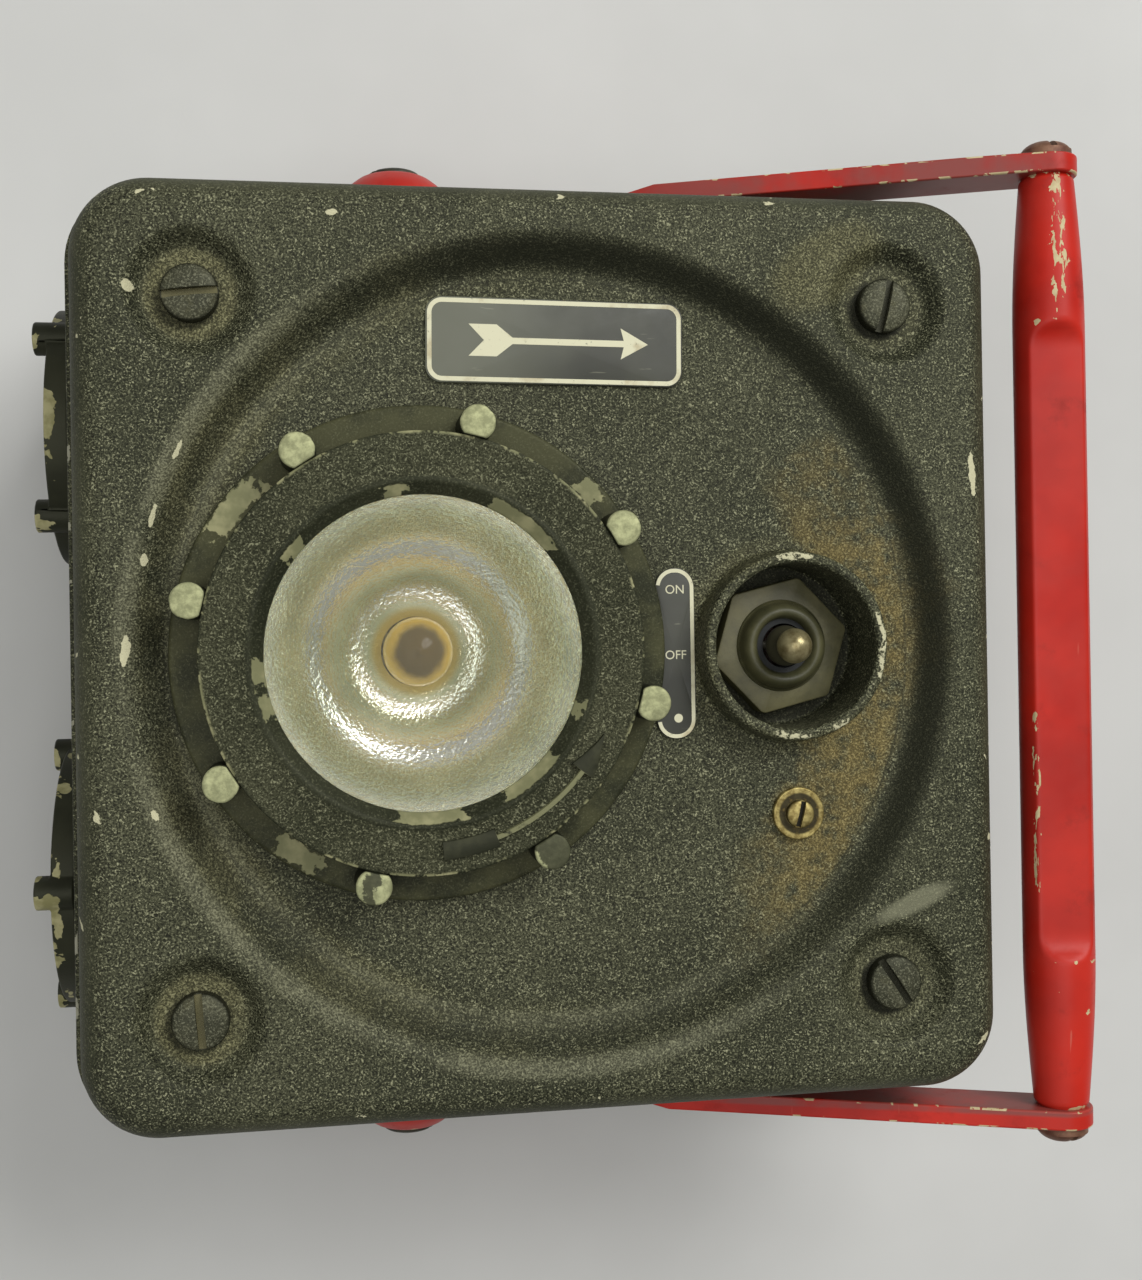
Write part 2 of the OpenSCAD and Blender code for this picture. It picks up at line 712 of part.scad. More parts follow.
module lamp_socket() {
  color(phenolic) translate([lens_x, 0, socket_z]) difference() {
    union() {
      cylinder(r = socket_base_r, h = socket_base_t);
      cylinder(r = socket_r, h = socket_base_t + socket_h);
    }
    translate([0, 0, socket_base_t]) cylinder(r = socket_bore_r, h = socket_h + 1);
    for (x = [-1, 1]) translate([x * post_at, 0, -1])
      cylinder(r = post_screw_r + hole_clear, h = socket_base_t + 2);
  }
}

module socket_screws() {
  color(steel) for (x = [-1, 1]) translate([lens_x + x * post_at, 0, socket_z + socket_base_t])
    slotted_screw(post_screw_head_r, post_screw_head_h, post_screw_r, post_screw_l - 1, 20);
}

module lamp_spring() {
  room = socket_h - lamp_base_l - lamp_tip_h - 2 * seat_gap;
  color(brass) translate([lens_x, 0, socket_z + socket_base_t + seat_gap])
    spring(lamp_spring_r, lamp_spring_wire_r, room, 3);
}

module switch_body() {
  color(phenolic) difference() {
    translate([switch_x, 0, panel_z - switch_body_h / 2])
      cube([switch_body_w, switch_body_l, switch_body_h], center = true);
    translate([switch_x, 0, lever_z - lever_tail_l - 2]) cylinder(r = bushing_bore_r, h = lever_tail_l + 2);
  }
}

module switch_terminals() {
  color(brass) for (i = [-1, 0, 1])
    translate([switch_x, i * lug_pitch, panel_z - switch_body_h - lug_l / 2])
      cube([lug_l, lug_t, lug_l], center = true);
}

module switch_bushing() {
  color(steel) translate([switch_x, 0, 0]) difference() {
    translate([0, 0, panel_z]) pipe(bushing_r, bushing_bore_r, bushing_top_z - panel_z);
    translate([0, 0, lever_z]) rotate([0, 90, 0])
      cylinder(r = toggle_pin_r + run_clear, h = 3 * bushing_r, center = true);
  }
}

module switch_nut() {
  color(black) translate([switch_x, 0, well_z]) difference() {
    intersection() {
      rotate(nut_turn) cylinder(r = nut_corner_r, h = nut_h, $fn = 6);
      translate([0, 0, -1])
        cylinder(r1 = nut_top_r + nut_bevel * (nut_h + 1), r2 = nut_top_r, h = nut_h + 1);
    }
    translate([0, 0, -1]) cylinder(r = bushing_r + hole_clear, h = nut_h + 2);
  }
}

// Rubber dome on the nut with room for the lever's throw
module switch_boot() {
  color(rubber) translate([switch_x, 0, nut_top_z]) difference() {
    rotate_extrude() polygon(concat(
      [[0, 0]],
      [for (a = [0:15:90]) [boot_hole_r + (boot_r - boot_hole_r) * cos(a), boot_h * sin(a)]],
      [[0, boot_h]]));
    translate([0, 0, -1])
      cylinder(r = bushing_r + hole_clear, h = bushing_top_z - nut_top_z + 1 + hole_clear);
    cylinder(r = boot_hole_r, h = boot_h + 1);
  }
}

module switch_pin() {
  color(steel) translate([switch_x, 0, lever_z]) rotate([0, 90, 0])
    cylinder(r = toggle_pin_r, h = 2 * bushing_r - 0.6, center = true);
}

module toggle_lever() {
  color("gainsboro") translate([switch_x, 0, 0]) difference() {
    union() {
      translate([0, 0, lever_z]) sphere(lever_ball_r);
      translate([0, 0, lever_z - lever_tail_l]) cylinder(r = lever_tail_r, h = lever_tail_l);
      translate([0, 0, lever_z])
        cylinder(r1 = lever_neck_r, r2 = lever_tip_r * 0.92, h = lever_tip_z - lever_z);
      translate([0, 0, lever_tip_z]) sphere(lever_tip_r);
    }
    translate([0, 0, lever_z]) rotate([0, 90, 0])
      cylinder(r = toggle_pin_r + run_clear, h = 3 * lever_ball_r, center = true);
  }
}

module impact_block() {
  color(black) difference() {
    translate([impact_left, impact_y - impact_w / 2, impact_z]) cube([impact_l, impact_w, impact_h]);
    translate([impact_left + impact_floor_t, impact_y, impact_axis_z]) rotate([0, 90, 0])
      cylinder(r = impact_bore_r, h = impact_l);
    translate([impact_x, impact_y, plate_z - 4.6]) cylinder(r = small_screw_r + hole_clear, h = 6);
    translate([impact_left - 1, impact_y, impact_axis_z]) rotate([0, 90, 0])
      cylinder(r = stud_r + hole_clear, h = 4);
  }
}

module impact_weight() {
  color(steel) translate([weight_left, impact_y, impact_axis_z]) rotate([0, 90, 0])
    cylinder(r = weight_r, h = weight_l);
}

module impact_spring() {
  color(steel) translate([weight_right + seat_gap, impact_y, impact_axis_z]) rotate([0, 90, 0])
    spring(impact_spring_r, spring_wire_r, plug_left - weight_right - 2 * seat_gap, impact_spring_turns);
}

module impact_plug() {
  color(phenolic) difference() {
    translate([plug_left, impact_y, impact_axis_z]) rotate([0, 90, 0])
      cylinder(r = impact_bore_r - hole_clear, h = plug_l);
    translate([plug_left - 1, impact_y, impact_axis_z]) rotate([0, 90, 0])
      cylinder(r = stud_r + hole_clear, h = plug_l + 2);
  }
}

// Terminal studs at both ends of the impact switch
module impact_studs() {
  color(brass) for (end = [[impact_left - stud_l, 3.6], [plug_left, plug_l + stud_l]])
    translate([end[0], impact_y, impact_axis_z]) rotate([0, 90, 0]) cylinder(r = stud_r, h = end[1]);
}

module impact_ferrule() {
  color(brass) translate([impact_x, impact_y, 0]) difference() {
    union() {
      translate([0, 0, floor_z]) cylinder(r = ferrule_r, h = ferrule_rise);
      translate([0, 0, plate_z + seat_gap]) cylinder(r = ferrule_shank_r, h = floor_z - plate_z);
    }
    translate([0, 0, plate_z - 1])
      cylinder(r = small_screw_r + hole_clear, h = floor_z - plate_z + ferrule_rise + 2);
  }
}

module impact_screw() {
  color(brass) translate([impact_x, impact_y, floor_z + ferrule_rise])
    slotted_screw(small_screw_head_r, small_screw_head_h, small_screw_r, small_screw_l, 35);
}

module sleeve(side) {
  color("tan") row_at(boss_in_x - sleeve_seat, side)
    pipe(sleeve_r, sleeve_in_r, bridge_x - 2 * seat_gap - boss_in_x + sleeve_seat);
}

module upper_sleeve() { sleeve(1); }
module lower_sleeve() { sleeve(-1); }

module cells(side) {
  color("darkolivegreen") for (i = [0, 1]) row_at(bridge_x - (i + 1) * cell_l, side) {
    cylinder(r = cell_r, h = cell_l - cell_tip_h);
    cylinder(r = cell_tip_r, h = cell_l);
  }
}

module upper_cells() { cells(1); }
module lower_cells() { cells(-1); }

// Two discs joined by a strip, standing at x across both battery rows
module row_link(x, disc_r, strip_w, t) {
  for (side = [-1, 1]) row_at(x, side) cylinder(r = disc_r, h = t);
  translate([x, -row_y, row_z - strip_w / 2]) cube([t, 2 * row_y, strip_w]);
}

module contact_bridge() {
  color(brass) row_link(bridge_x, bridge_disc_r, bridge_w, bridge_t);
}

module bridge_insulator() {
  color(phenolic) row_link(bridge_x + bridge_t, insulator_disc_r, bridge_w, insulator_t);
}

module cap(side, first_peg) {
  color(enamel) row_at(0, side) {
    difference() {
      union() {
        translate([0, 0, cap_out_x]) cylinder(r = cap_r, h = cap_t);
        translate([0, 0, cap_face_x - eps]) cylinder(r = plug_r, h = cap_plug_l + eps);
      }
      translate([0, 0, cap_face_x]) cylinder(r = plug_in_r, h = cap_plug_l + 1);
    }
    for (i = [0:cap_pegs - 1]) rotate(first_peg + 360 * i / cap_pegs)
      translate([cap_peg_circle_r, 0, cap_out_x - cap_peg_rise])
        cylinder(r = peg_r, h = cap_peg_rise + cap_t);
  }
}

module upper_cap() { cap(1, 45); }
module lower_cap() { cap(-1, 0); }

module cap_gasket(side) {
  color(rubber) row_at(cap_face_x, side) pipe(boss_r, plug_r + seat_gap, cap_gasket_t);
}

module upper_cap_gasket() { cap_gasket(1); }
module lower_cap_gasket() { cap_gasket(-1); }

module cap_spring(side) {
  color(brass) row_at(cap_face_x + seat_gap, side)
    spring(cap_spring_r, cap_spring_wire_r, contact_x - cap_face_x - 2 * seat_gap, cap_spring_turns);
}

module upper_cap_spring() { cap_spring(1); }
module lower_cap_spring() { cap_spring(-1); }

module cap_contact(side) {
  color(brass) row_at(contact_x, side) cylinder(r = contact_r, h = contact_t);
}

module upper_cap_contact() { cap_contact(1); }
module lower_cap_contact() { cap_contact(-1); }

// Places a piece in the handle's own frame: X along the arms from the pivot, Z square to their plane
module in_handle() {
  translate([pivot_x, 0, pivot_z]) rotate([0, -handle_tilt, 0]) children();
}

// Side outline of a strap, with its outward step and flare, in the arm's length and the case's width
function strap_side() = [
  [-eye_r, 0], [step_at, 0], [step_at + step_l, step_out], [arm_l - tail_l, step_out + flare],
  [arm_l + strap_w, step_out + flare]];

module arm(side) {
  inner = strap_side();
  outer = [for (i = [len(inner) - 1:-1:0]) inner[i] + [0, strap_t]];
  neck_l = 30;
  color(red) in_handle() mirror([0, side < 0 ? 1 : 0, 0]) difference() {
    union() {
      intersection() {
        translate([0, arm_in_y, 0]) linear_extrude(3 * eye_r, center = true) polygon(concat(inner, outer));
        translate([0, arm_in_y - 1, 0]) rotate([-90, 0, 0]) linear_extrude(step_out + flare + strap_t + 2) {
          circle(eye_r);
          polygon([[0, eye_r], [0, -eye_r], [neck_l, -strap_w / 2], [neck_l, strap_w / 2]]);
          translate([neck_l - 1, -strap_w / 2]) square([arm_l - neck_l + 1, strap_w]);
          translate([arm_l, 0]) circle(strap_end_r);
        }
      }
      translate([0, arm_out_y - eps, 0]) rotate([-90, 0, 0])
        cylinder(r1 = eye_r, r2 = eye_top_r, h = eye_rise);
    }
    translate([0, arm_in_y - 2, 0]) rotate([-90, 0, 0])
      cylinder(r = pivot_r + run_clear, h = strap_t + eye_rise + 4);
    translate([arm_l, arm_in_y, 0]) rotate([-90, 0, 0])
      cylinder(r = grip_screw_r + hole_clear, h = step_out + flare + strap_t + 2);
  }
}

module upper_arm() { arm(1); }
module lower_arm() { arm(-1); }

// Turned bar that swells from its ends, with one long flat that runs out in scoops
module grip() {
  steps = 10;
  swell = [for (i = [0:steps]) [
    grip_end_r + (grip_r - grip_end_r) * smooth(i / steps), -grip_half + grip_swell_l * i / steps]];
  swell_back = [for (i = [steps:-1:0]) [swell[i][0], -swell[i][1]]];
  color(red) in_handle() translate([arm_l, 0, 0]) rotate([-90, 0, 0]) difference() {
    rotate_extrude() polygon(concat([[0, -grip_half]], swell, swell_back, [[0, grip_half]]));
    rotate([90, 0, flat_turn]) flat_cut();
    for (end = [-1, 1]) translate([0, 0, end * (grip_half - grip_screw_l / 2)])
      cylinder(r = grip_screw_r + hole_clear, h = grip_screw_l + 2, center = true);
  }
}

// What is milled away above the flat, drawn with the grip along Y and the flat facing +Z
module flat_cut() {
  rotate([90, 0, 90]) linear_extrude(4 * grip_r, center = true) {
    translate([-flat_l / 2, flat_at]) square([flat_l, 2 * scoop_r]);
    for (end = [-1, 1]) translate([end * flat_l / 2, flat_at + scoop_r]) circle(scoop_r, $fn = 96);
  }
}

module grip_screws() {
  color("sienna") in_handle() for (side = [-1, 1])
    translate([arm_l, side * (grip_half + strap_t), 0]) rotate([-90 * side, 0, 0])
      slotted_screw(grip_screw_head_r, grip_screw_head_h, grip_screw_r, grip_screw_l, 30);
}

// Shouldered screws: the thread in the case, the shoulder in the arm, the head outside
module pivot_screws() {
  shoulder = arm_gap + strap_t + eye_rise + move_gap;
  color(black) for (side = [-1, 1])
    translate([pivot_x, side * case_half, pivot_z]) rotate([-90 * side, 0, 0]) {
      translate([0, 0, shoulder])
        slotted_screw(pivot_head_r, pivot_head_h, pivot_r, shoulder, 60);
      translate([0, 0, -pivot_thread_l]) cylinder(r = pivot_thread_r, h = pivot_thread_l + eps);
    }
}

module pivot_washers() {
  color(steel) for (side = [-1, 1])
    translate([pivot_x, side * case_half, pivot_z]) rotate([-90 * side, 0, 0])
      pipe(pivot_washer_r, pivot_r + hole_clear, arm_gap - washer_gap);
}

module bridge_wire() { lead(bridge_lead); }
module lamp_wire() { lead(lamp_lead); }
module impact_wire() { lead(impact_lead); }
module return_wire() { lead(return_lead); }

case_shell();
front_cover();
cover_gasket();
cover_screws();
arrow_plate();
switch_plate();
lens_ring();
lens();
lens_gasket();
reflector();
lamp_bulb();
lamp_base();
lamp_socket();
socket_screws();
lamp_spring();
switch_body();
switch_terminals();
switch_bushing();
switch_nut();
switch_boot();
switch_pin();
toggle_lever();
impact_block();
impact_weight();
impact_spring();
impact_plug();
impact_studs();
impact_screw();
impact_ferrule();
upper_sleeve();
lower_sleeve();
upper_cells();
lower_cells();
contact_bridge();
bridge_insulator();
upper_cap();
upper_cap_gasket();
upper_cap_spring();
upper_cap_contact();
lower_cap();
lower_cap_gasket();
lower_cap_spring();
lower_cap_contact();
upper_arm();
lower_arm();
grip();
grip_screws();
pivot_screws();
pivot_washers();
bridge_wire();
lamp_wire();
impact_wire();
return_wire();
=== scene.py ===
import json
import math

import bmesh
import bpy
import numpy as np
from mathutils import Matrix, Vector
from mathutils.geometry import delaunay_2d_cdt

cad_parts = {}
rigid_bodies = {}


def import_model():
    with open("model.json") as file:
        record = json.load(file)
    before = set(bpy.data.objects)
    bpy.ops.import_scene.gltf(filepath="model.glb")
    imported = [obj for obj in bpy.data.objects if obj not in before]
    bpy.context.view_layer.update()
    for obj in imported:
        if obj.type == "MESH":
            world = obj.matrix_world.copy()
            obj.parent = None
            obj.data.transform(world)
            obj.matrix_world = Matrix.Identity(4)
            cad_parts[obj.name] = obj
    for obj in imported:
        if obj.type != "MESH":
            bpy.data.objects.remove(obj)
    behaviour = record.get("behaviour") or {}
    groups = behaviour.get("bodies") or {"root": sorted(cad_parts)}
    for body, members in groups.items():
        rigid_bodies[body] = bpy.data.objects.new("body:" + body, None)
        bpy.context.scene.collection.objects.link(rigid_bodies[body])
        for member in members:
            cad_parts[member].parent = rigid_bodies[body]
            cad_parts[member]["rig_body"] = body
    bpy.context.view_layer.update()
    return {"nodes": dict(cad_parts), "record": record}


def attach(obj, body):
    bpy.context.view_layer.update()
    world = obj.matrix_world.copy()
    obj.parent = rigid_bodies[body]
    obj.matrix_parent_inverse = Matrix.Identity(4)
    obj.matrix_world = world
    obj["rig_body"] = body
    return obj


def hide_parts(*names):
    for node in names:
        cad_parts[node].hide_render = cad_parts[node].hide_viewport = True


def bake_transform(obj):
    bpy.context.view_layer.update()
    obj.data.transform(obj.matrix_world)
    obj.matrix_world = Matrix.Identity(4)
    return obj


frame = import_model()
nodes = frame["nodes"]
print("stage: frame loaded", len(nodes), "nodes")

mm = 0.001
roundColumns = 160  # of the larger turned forms


def ease(t):
    t = np.clip(t, 0, 1)
    return t * t * (3 - 2 * t)


def rounded(path, cuts, steps=5, closed=False):  # corners become quadratic curves of the given cuts
    path = np.asarray(path, float)
    out = []
    for i, point in enumerate(path):
        cut = cuts[i] if hasattr(cuts, "__len__") else cuts
        if cut == 0 or (not closed and i in (0, len(path) - 1)):
            out.append(point)
            continue
        back, ahead = path[i - 1] - point, path[(i + 1) % len(path)] - point
        reach = [np.linalg.norm(back), np.linalg.norm(ahead)]
        cut = min(cut, 0.48 * reach[0], 0.48 * reach[1])
        start, end = point + back / reach[0] * cut, point + ahead / reach[1] * cut
        for t in np.linspace(0, 1, steps + 1):
            out.append((1 - t) ** 2 * start + 2 * t * (1 - t) * point + t * t * end)
    return np.array(out)


def circle(count):
    return np.linspace(0, 2 * math.pi, count, endpoint=False)


def spun(profile, columns, x=0):  # rows of a profile of radius and height, turned about an upright axis
    turn = circle(columns)
    radius, height = np.asarray(profile, float).T
    return np.stack([x + radius[:, None] * np.cos(turn), radius[:, None] * np.sin(turn),
                     np.repeat(height[:, None], columns, 1)], -1)


def capped(rows, tips):  # a tube's rows between its two end points
    first, last = (np.broadcast_to(tip, rows[:1].shape) for tip in tips)
    return np.concatenate([first, rows, last])


class Shape:  # points and faces of one piece, gathered in whole arrays
    def __init__(self):
        self.points, self.faces, self.wear, self.count = [], [], [], 0

    def grid(self, rows, loop=False, wear=0):  # columns close on themselves, rows where loop is set
        high, wide = rows.shape[:2]
        i, j = np.arange(high if loop else high - 1)[:, None], np.arange(wide)[None]
        below, after = (i + 1) % high, (j + 1) % wide
        quads = np.stack([i * wide + j, i * wide + after, below * wide + after, below * wide + j], -1)
        marks = np.broadcast_to(np.asarray(wear, float).reshape(-1, 1), (high, wide))
        return self.add(rows.reshape(-1, 3), quads.reshape(-1, 4), marks.ravel())

    def add(self, points, faces, wear=0):
        points = np.asarray(points, float)
        self.points.append(points)
        self.wear.append(np.broadcast_to(wear, len(points)))
        for block in faces if isinstance(faces, list) else [faces]:
            self.faces += (np.asarray(block) + self.count).tolist()
        self.count += len(points)
        return self

    def piece(self, name, materials, body, slotName, replaced=(), sharp=38):
        mesh = bpy.data.meshes.new(name)
        mesh.from_pydata(np.concatenate(self.points) * mm, [], self.faces)
        mark = mesh.attributes.new("wear", "FLOAT", "POINT")
        mark.data.foreach_set("value", np.concatenate(self.wear).astype(np.float32))
        return settle(mesh, name, materials, body, slotName, replaced, sharp)


def settle(mesh, name, materials, body, slotName, replaced=(), sharp=38, weld=0.002, flatten=0):
    work = bmesh.new()
    work.from_mesh(mesh)
    bmesh.ops.remove_doubles(work, verts=work.verts, dist=weld * mm)
    if flatten:
        bmesh.ops.dissolve_limit(work, angle_limit=math.radians(flatten), verts=work.verts, edges=work.edges)
    bmesh.ops.recalc_face_normals(work, faces=work.faces)
    work.to_mesh(mesh)
    work.free()
    mesh.shade_smooth()
    mesh.set_sharp_from_angle(angle=math.radians(sharp))
    thing = bpy.data.objects.new(name, mesh)
    bpy.context.scene.collection.objects.link(thing)
    for material in materials if isinstance(materials, (list, tuple)) else [materials]:
        mesh.materials.append(material)
    if isinstance(body, dict):
        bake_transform(thing)
    else:
        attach(thing, body)
    if replaced:
        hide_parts(*replaced)
    return thing


def dressed(name, materials, slotName, width):  # a merged copy of a node with soft edges
    source = nodes[name]
    points = np.empty(len(source.data.vertices) * 3, np.float32)
    source.data.vertices.foreach_get("co", points)
    mesh = bpy.data.meshes.new(name + "Soft")
    mesh.from_pydata(points.reshape(-1, 3), [], [list(face.vertices) for face in source.data.polygons])
    thing = settle(mesh, name + "Soft", materials, source["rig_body"], slotName, (name,), flatten=1)
    soften = thing.modifiers.new("soften", "BEVEL")
    soften.width, soften.segments = width * mm, 3
    soften.limit_method, soften.angle_limit = "ANGLE", math.radians(32)
    soften.use_clamp_overlap, soften.harden_normals = False, True
    soften.material = 1 if len(mesh.materials) > 1 else -1


def tone(red, green, blue):  # screen values to linear colour
    parts = [((c / 255 + 0.055) / 1.055) ** 2.4 if c > 10 else c / 255 / 12.92 for c in (red, green, blue)]
    return (*parts, 1)


def both(operation):  # an operator and its reflected form
    return (lambda self, other: self.math(operation, self, other),
            lambda self, other: self.math(operation, other, self))


class Sock:  # one output of a node, so that sums and products of outputs make Math nodes
    def __init__(self, tree, out):
        self.tree, self.out = tree, out

    def make(self, kind, settings, inputs, pick=0):
        node = self.tree.nodes.new("ShaderNode" + kind)
        for key, value in settings.items():
            setattr(node, key, value)
        for key, value in inputs.items():
            if isinstance(value, Sock):
                self.tree.links.new(value.out, node.inputs[key])
            else:
                node.inputs[key].default_value = value
        return Sock(self.tree, node.outputs[pick])

    def math(self, operation, first, second=0):
        return self.make("Math", {"operation": operation}, {0: first, 1: second})

    __add__, __radd__ = both("ADD")
    __sub__, __rsub__ = both("SUBTRACT")
    __mul__, __rmul__ = both("MULTIPLY")
    __truediv__, __rtruediv__ = both("DIVIDE")


def noise(p, scale, detail=3, rough=0.55, warp=0):
    return p.make("TexNoise", {}, {"Vector": p, "Scale": scale, "Detail": detail, "Roughness": rough,
                                   "Distortion": warp}, "Fac")


def step(value, low, high):  # smooth rise from 0 at low to 1 at high
    return value.make("MapRange", {"interpolation_type": "SMOOTHSTEP"},
                      {"Value": value, "From Min": low, "From Max": high}, "Result")


def band(value, low, high, soft):  # 1 between low and high, with soft ends
    return step(value, low - soft, low) * (1 - step(value, high, high + soft))


def mix(share, first, second):  # each colour is a node's output or screen values
    first, second = (tone(*c) if isinstance(c, tuple) else c for c in (first, second))
    return share.make("Mix", {"data_type": "RGBA"}, {0: share, 6: first, 7: second}, 2)


def oval(p, x, y, wide=1000, high=1000, turn=0):  # distance from an upright axis, 1 on the oval's outline
    moved = p.make("Mapping", {"vector_type": "TEXTURE"}, {
        "Vector": p, "Location": (x * mm, y * mm, 0), "Rotation": (0, 0, math.radians(turn)),
        "Scale": (wide * mm, high * mm, 1e6)})
    return p.make("VectorMath", {"operation": "LENGTH"}, {0: moved}, "Value")


def stretched(p, scale, turn=(0, 0, 0)):  # for streaks and fibres
    return p.make("Mapping", {"vector_type": "POINT"}, {"Vector": p, "Scale": scale, "Rotation": turn})


def spot(p, x, y, wide, high, turn=0, ragged=0, soft=0.4):  # a soft oval patch, 1 in its middle
    return 1 - step(oval(p, x, y, wide, high, turn) + ragged, 1 - soft, 1)


def heading(p, x):  # angle in degrees about an upright axis at x
    along, across = axes(p)[:2]
    return p.math("ARCTAN2", across, along - x * mm) * (180 / math.pi)


def most(first, *others):
    for other in others:
        first = first.math("MAXIMUM", first, other)
    return first


def arcs(angle, spans, soft=1.5):  # 1 where the angle lies in one of the spans
    return most(*[band(angle, low, high, soft) for low, high in spans])


def axes(p):
    split = p.tree.nodes.new("ShaderNodeSeparateXYZ")
    p.tree.links.new(p.out, split.inputs[0])
    return [Sock(p.tree, out) for out in split.outputs]


def worn(p):  # the mesh's own wear mark
    return p.make("Attribute", {"attribute_name": "wear"}, {}, "Fac")


def coat(colour, rough, height, relief, more=()):  # shader inputs; relief: the bump's depth and strength
    return {"Base Color": colour, "Roughness": rough, "height": height, "relief": relief, **dict(more)}


def paint(recipe, name=""):  # recipe takes the object coordinates and gives the shader's inputs
    material = bpy.data.materials.new(name or recipe.__name__)
    material.use_nodes = True
    tree = material.node_tree
    tree.nodes.clear()
    coordinates = tree.nodes.new("ShaderNodeTexCoord")
    p = Sock(tree, coordinates.outputs["Object"])
    inputs = recipe(p)
    height, (depth, strength) = inputs.pop("height"), inputs.pop("relief")
    inputs["Normal"] = p.make("Bump", {}, {"Strength": strength, "Distance": depth * mm, "Height": height})
    shader = p.make("BsdfPrincipled", {}, inputs)
    output = tree.nodes.new("ShaderNodeOutputMaterial")
    tree.links.new(shader.out, output.inputs["Surface"])
    return material


dullGloss = {"Specular IOR Level": 0.28, "Specular Tint": tone(255, 255, 226)}


def wrinkle(p):  # fine winding ridges of baked wrinkle enamel
    bend = p.make("TexNoise", {}, {"Vector": p, "Scale": 1100, "Detail": 1}, "Color")
    moved = p.make("VectorMath", {"operation": "MULTIPLY_ADD"}, {0: bend, 1: (0.0007, 0.0007, 0.0007), 2: p})
    return noise(moved, 3200, 2, 0.6)


def enamel(p, ridges, rubbed=0):  # black olive with dark furrows and pale ridges, calm where rubbed
    broad = noise(p, 30, 4, 0.6)
    ground = mix(step(broad, 0.35, 0.68), (48, 50, 35), (66, 67, 49))
    # painted shade: the furrows of the wrinkles are darkened
    ground = mix((1 - step(ridges, 0.36, 0.5)) * (1 - rubbed), ground, (14, 15, 9))
    # painted highlights: the ridges of the wrinkles are paler
    paintedHighlight = step(ridges, 0.54, 0.66) * (0.45 + 0.55 * step(noise(p, 900, 2), 0.42, 0.62))
    return mix(paintedHighlight * (1 - rubbed), ground, (150, 150, 119))


def chips(p, amount, scale=260):  # flakes with crisp outlines, more of them where amount is high
    return step(noise(p, scale, 4, 0.55, 0.4) + amount * 0.34, 0.80, 0.815)


# front cover, sizes in millimetres
cover = {"half": 72.25, "corner": 12, "edge": 5, "face": 75, "floor": 70.5, "under": 67.5, "base": 63.5,
         "dishIn": 58.8, "dishOut": 65.4, "hollow": 63, "columns": 640}
# the painted shadows beside the screw heads take their size and offset from this table
pocket = {"at": 54.45, "inner": 6.7, "outer": 10.2, "depth": 3, "screwShadow": 5.2, "shadowShift": -0.6,
          "corners": ((-1, 1), (1, 1), (-1, -1), (1, -1))}
collar = {"x": 38.2, "reach": 17.6, "outer": 15.1, "inner": 13.1, "rim": 76.4, "well": 63.5, "panel": 61,
          "hole": 6.15, "chips": [(81, 102), (-25, 21), (-102, -85), (-66, -58)]}
neck = {"x": -20.5, "reach": 31, "outer": 29.5, "inner": 26.9, "top": 75.5}
# tones of dust, rust and bare metal, dark tones for painted shade on the dish's wall, beside the screws and
# in the switch's well, and a grey for the painted highlight on the dish's crests and for the rubbed patch
coverWearAndPaintedLight = {"dust": ((66, 64, 43), (134, 130, 92)), "rust": ((88, 76, 42), (144, 128, 78)),
             "wall": (28, 30, 21), "bare": (204, 200, 164), "grey": (128, 128, 104), "screwShadow": (15, 16, 11),
             "well": (16, 17, 12),
             # each patch and mark: x, y, half width, half height, turn
             "upper": (44, 60, 13, 7, 30), "beside": (54, 2, 12, 21, 0), "above": (43, 27, 9, 6, 40),
             "rub": (57, -41.5, 8.5, 2.2, 22),
             "marks": [(68.4, 27.8, 0.6, 3.4, 3), (-63.5, 55.3, 0.7, 1, 0), (-60.5, -23.3, 0.6, 1, 30),
                       (-33.2, 66.7, 1.1, 0.5, 10), (-56.4, 30.9, 0.4, 1.5, -25),
                       (-60.3, 20.7, 0.4, 1.9, -15), (-61.6, 14.4, 0.5, 0.9, -10),
                       (-64.4, 1.2, 0.6, 2.8, -5)]}
# bands of dust, wear, painted shade and painted highlight by the distance from the middle, a screw or the
# switch: from, to and softness in metres
coverBands = {"foot": (0.0575, 0.0635, 0.004), "basin": (0.0047, 0.0062, 0.0016),
              "skirt": (0.0150, 0.0166, 0.0020), "sweep": (0.052, 0.0625, 0.004),
              "wall": (0.0613, 0.0628, 0.0032), "line": (0.0583, 0.0585, 0.0002),
              "crestHighlight": (0.0640, 0.0653, 0.0016), "inner": (0.0574, 0.0584, 0.0012),
              "shade": (0.0602, 0.0615, 0.0016), "rim": (0.0139, 0.0145, 0.0002),
              "edge": (0.0690, 0.0722, 0.0020), "lip": (0.0630, 0.0655, 0.0015)}


def screwReach(p):  # distance from the nearest cover screw's axis
    return oval(p.make("VectorMath", {"operation": "ABSOLUTE"}, {0: p}), pocket["at"], pocket["at"])


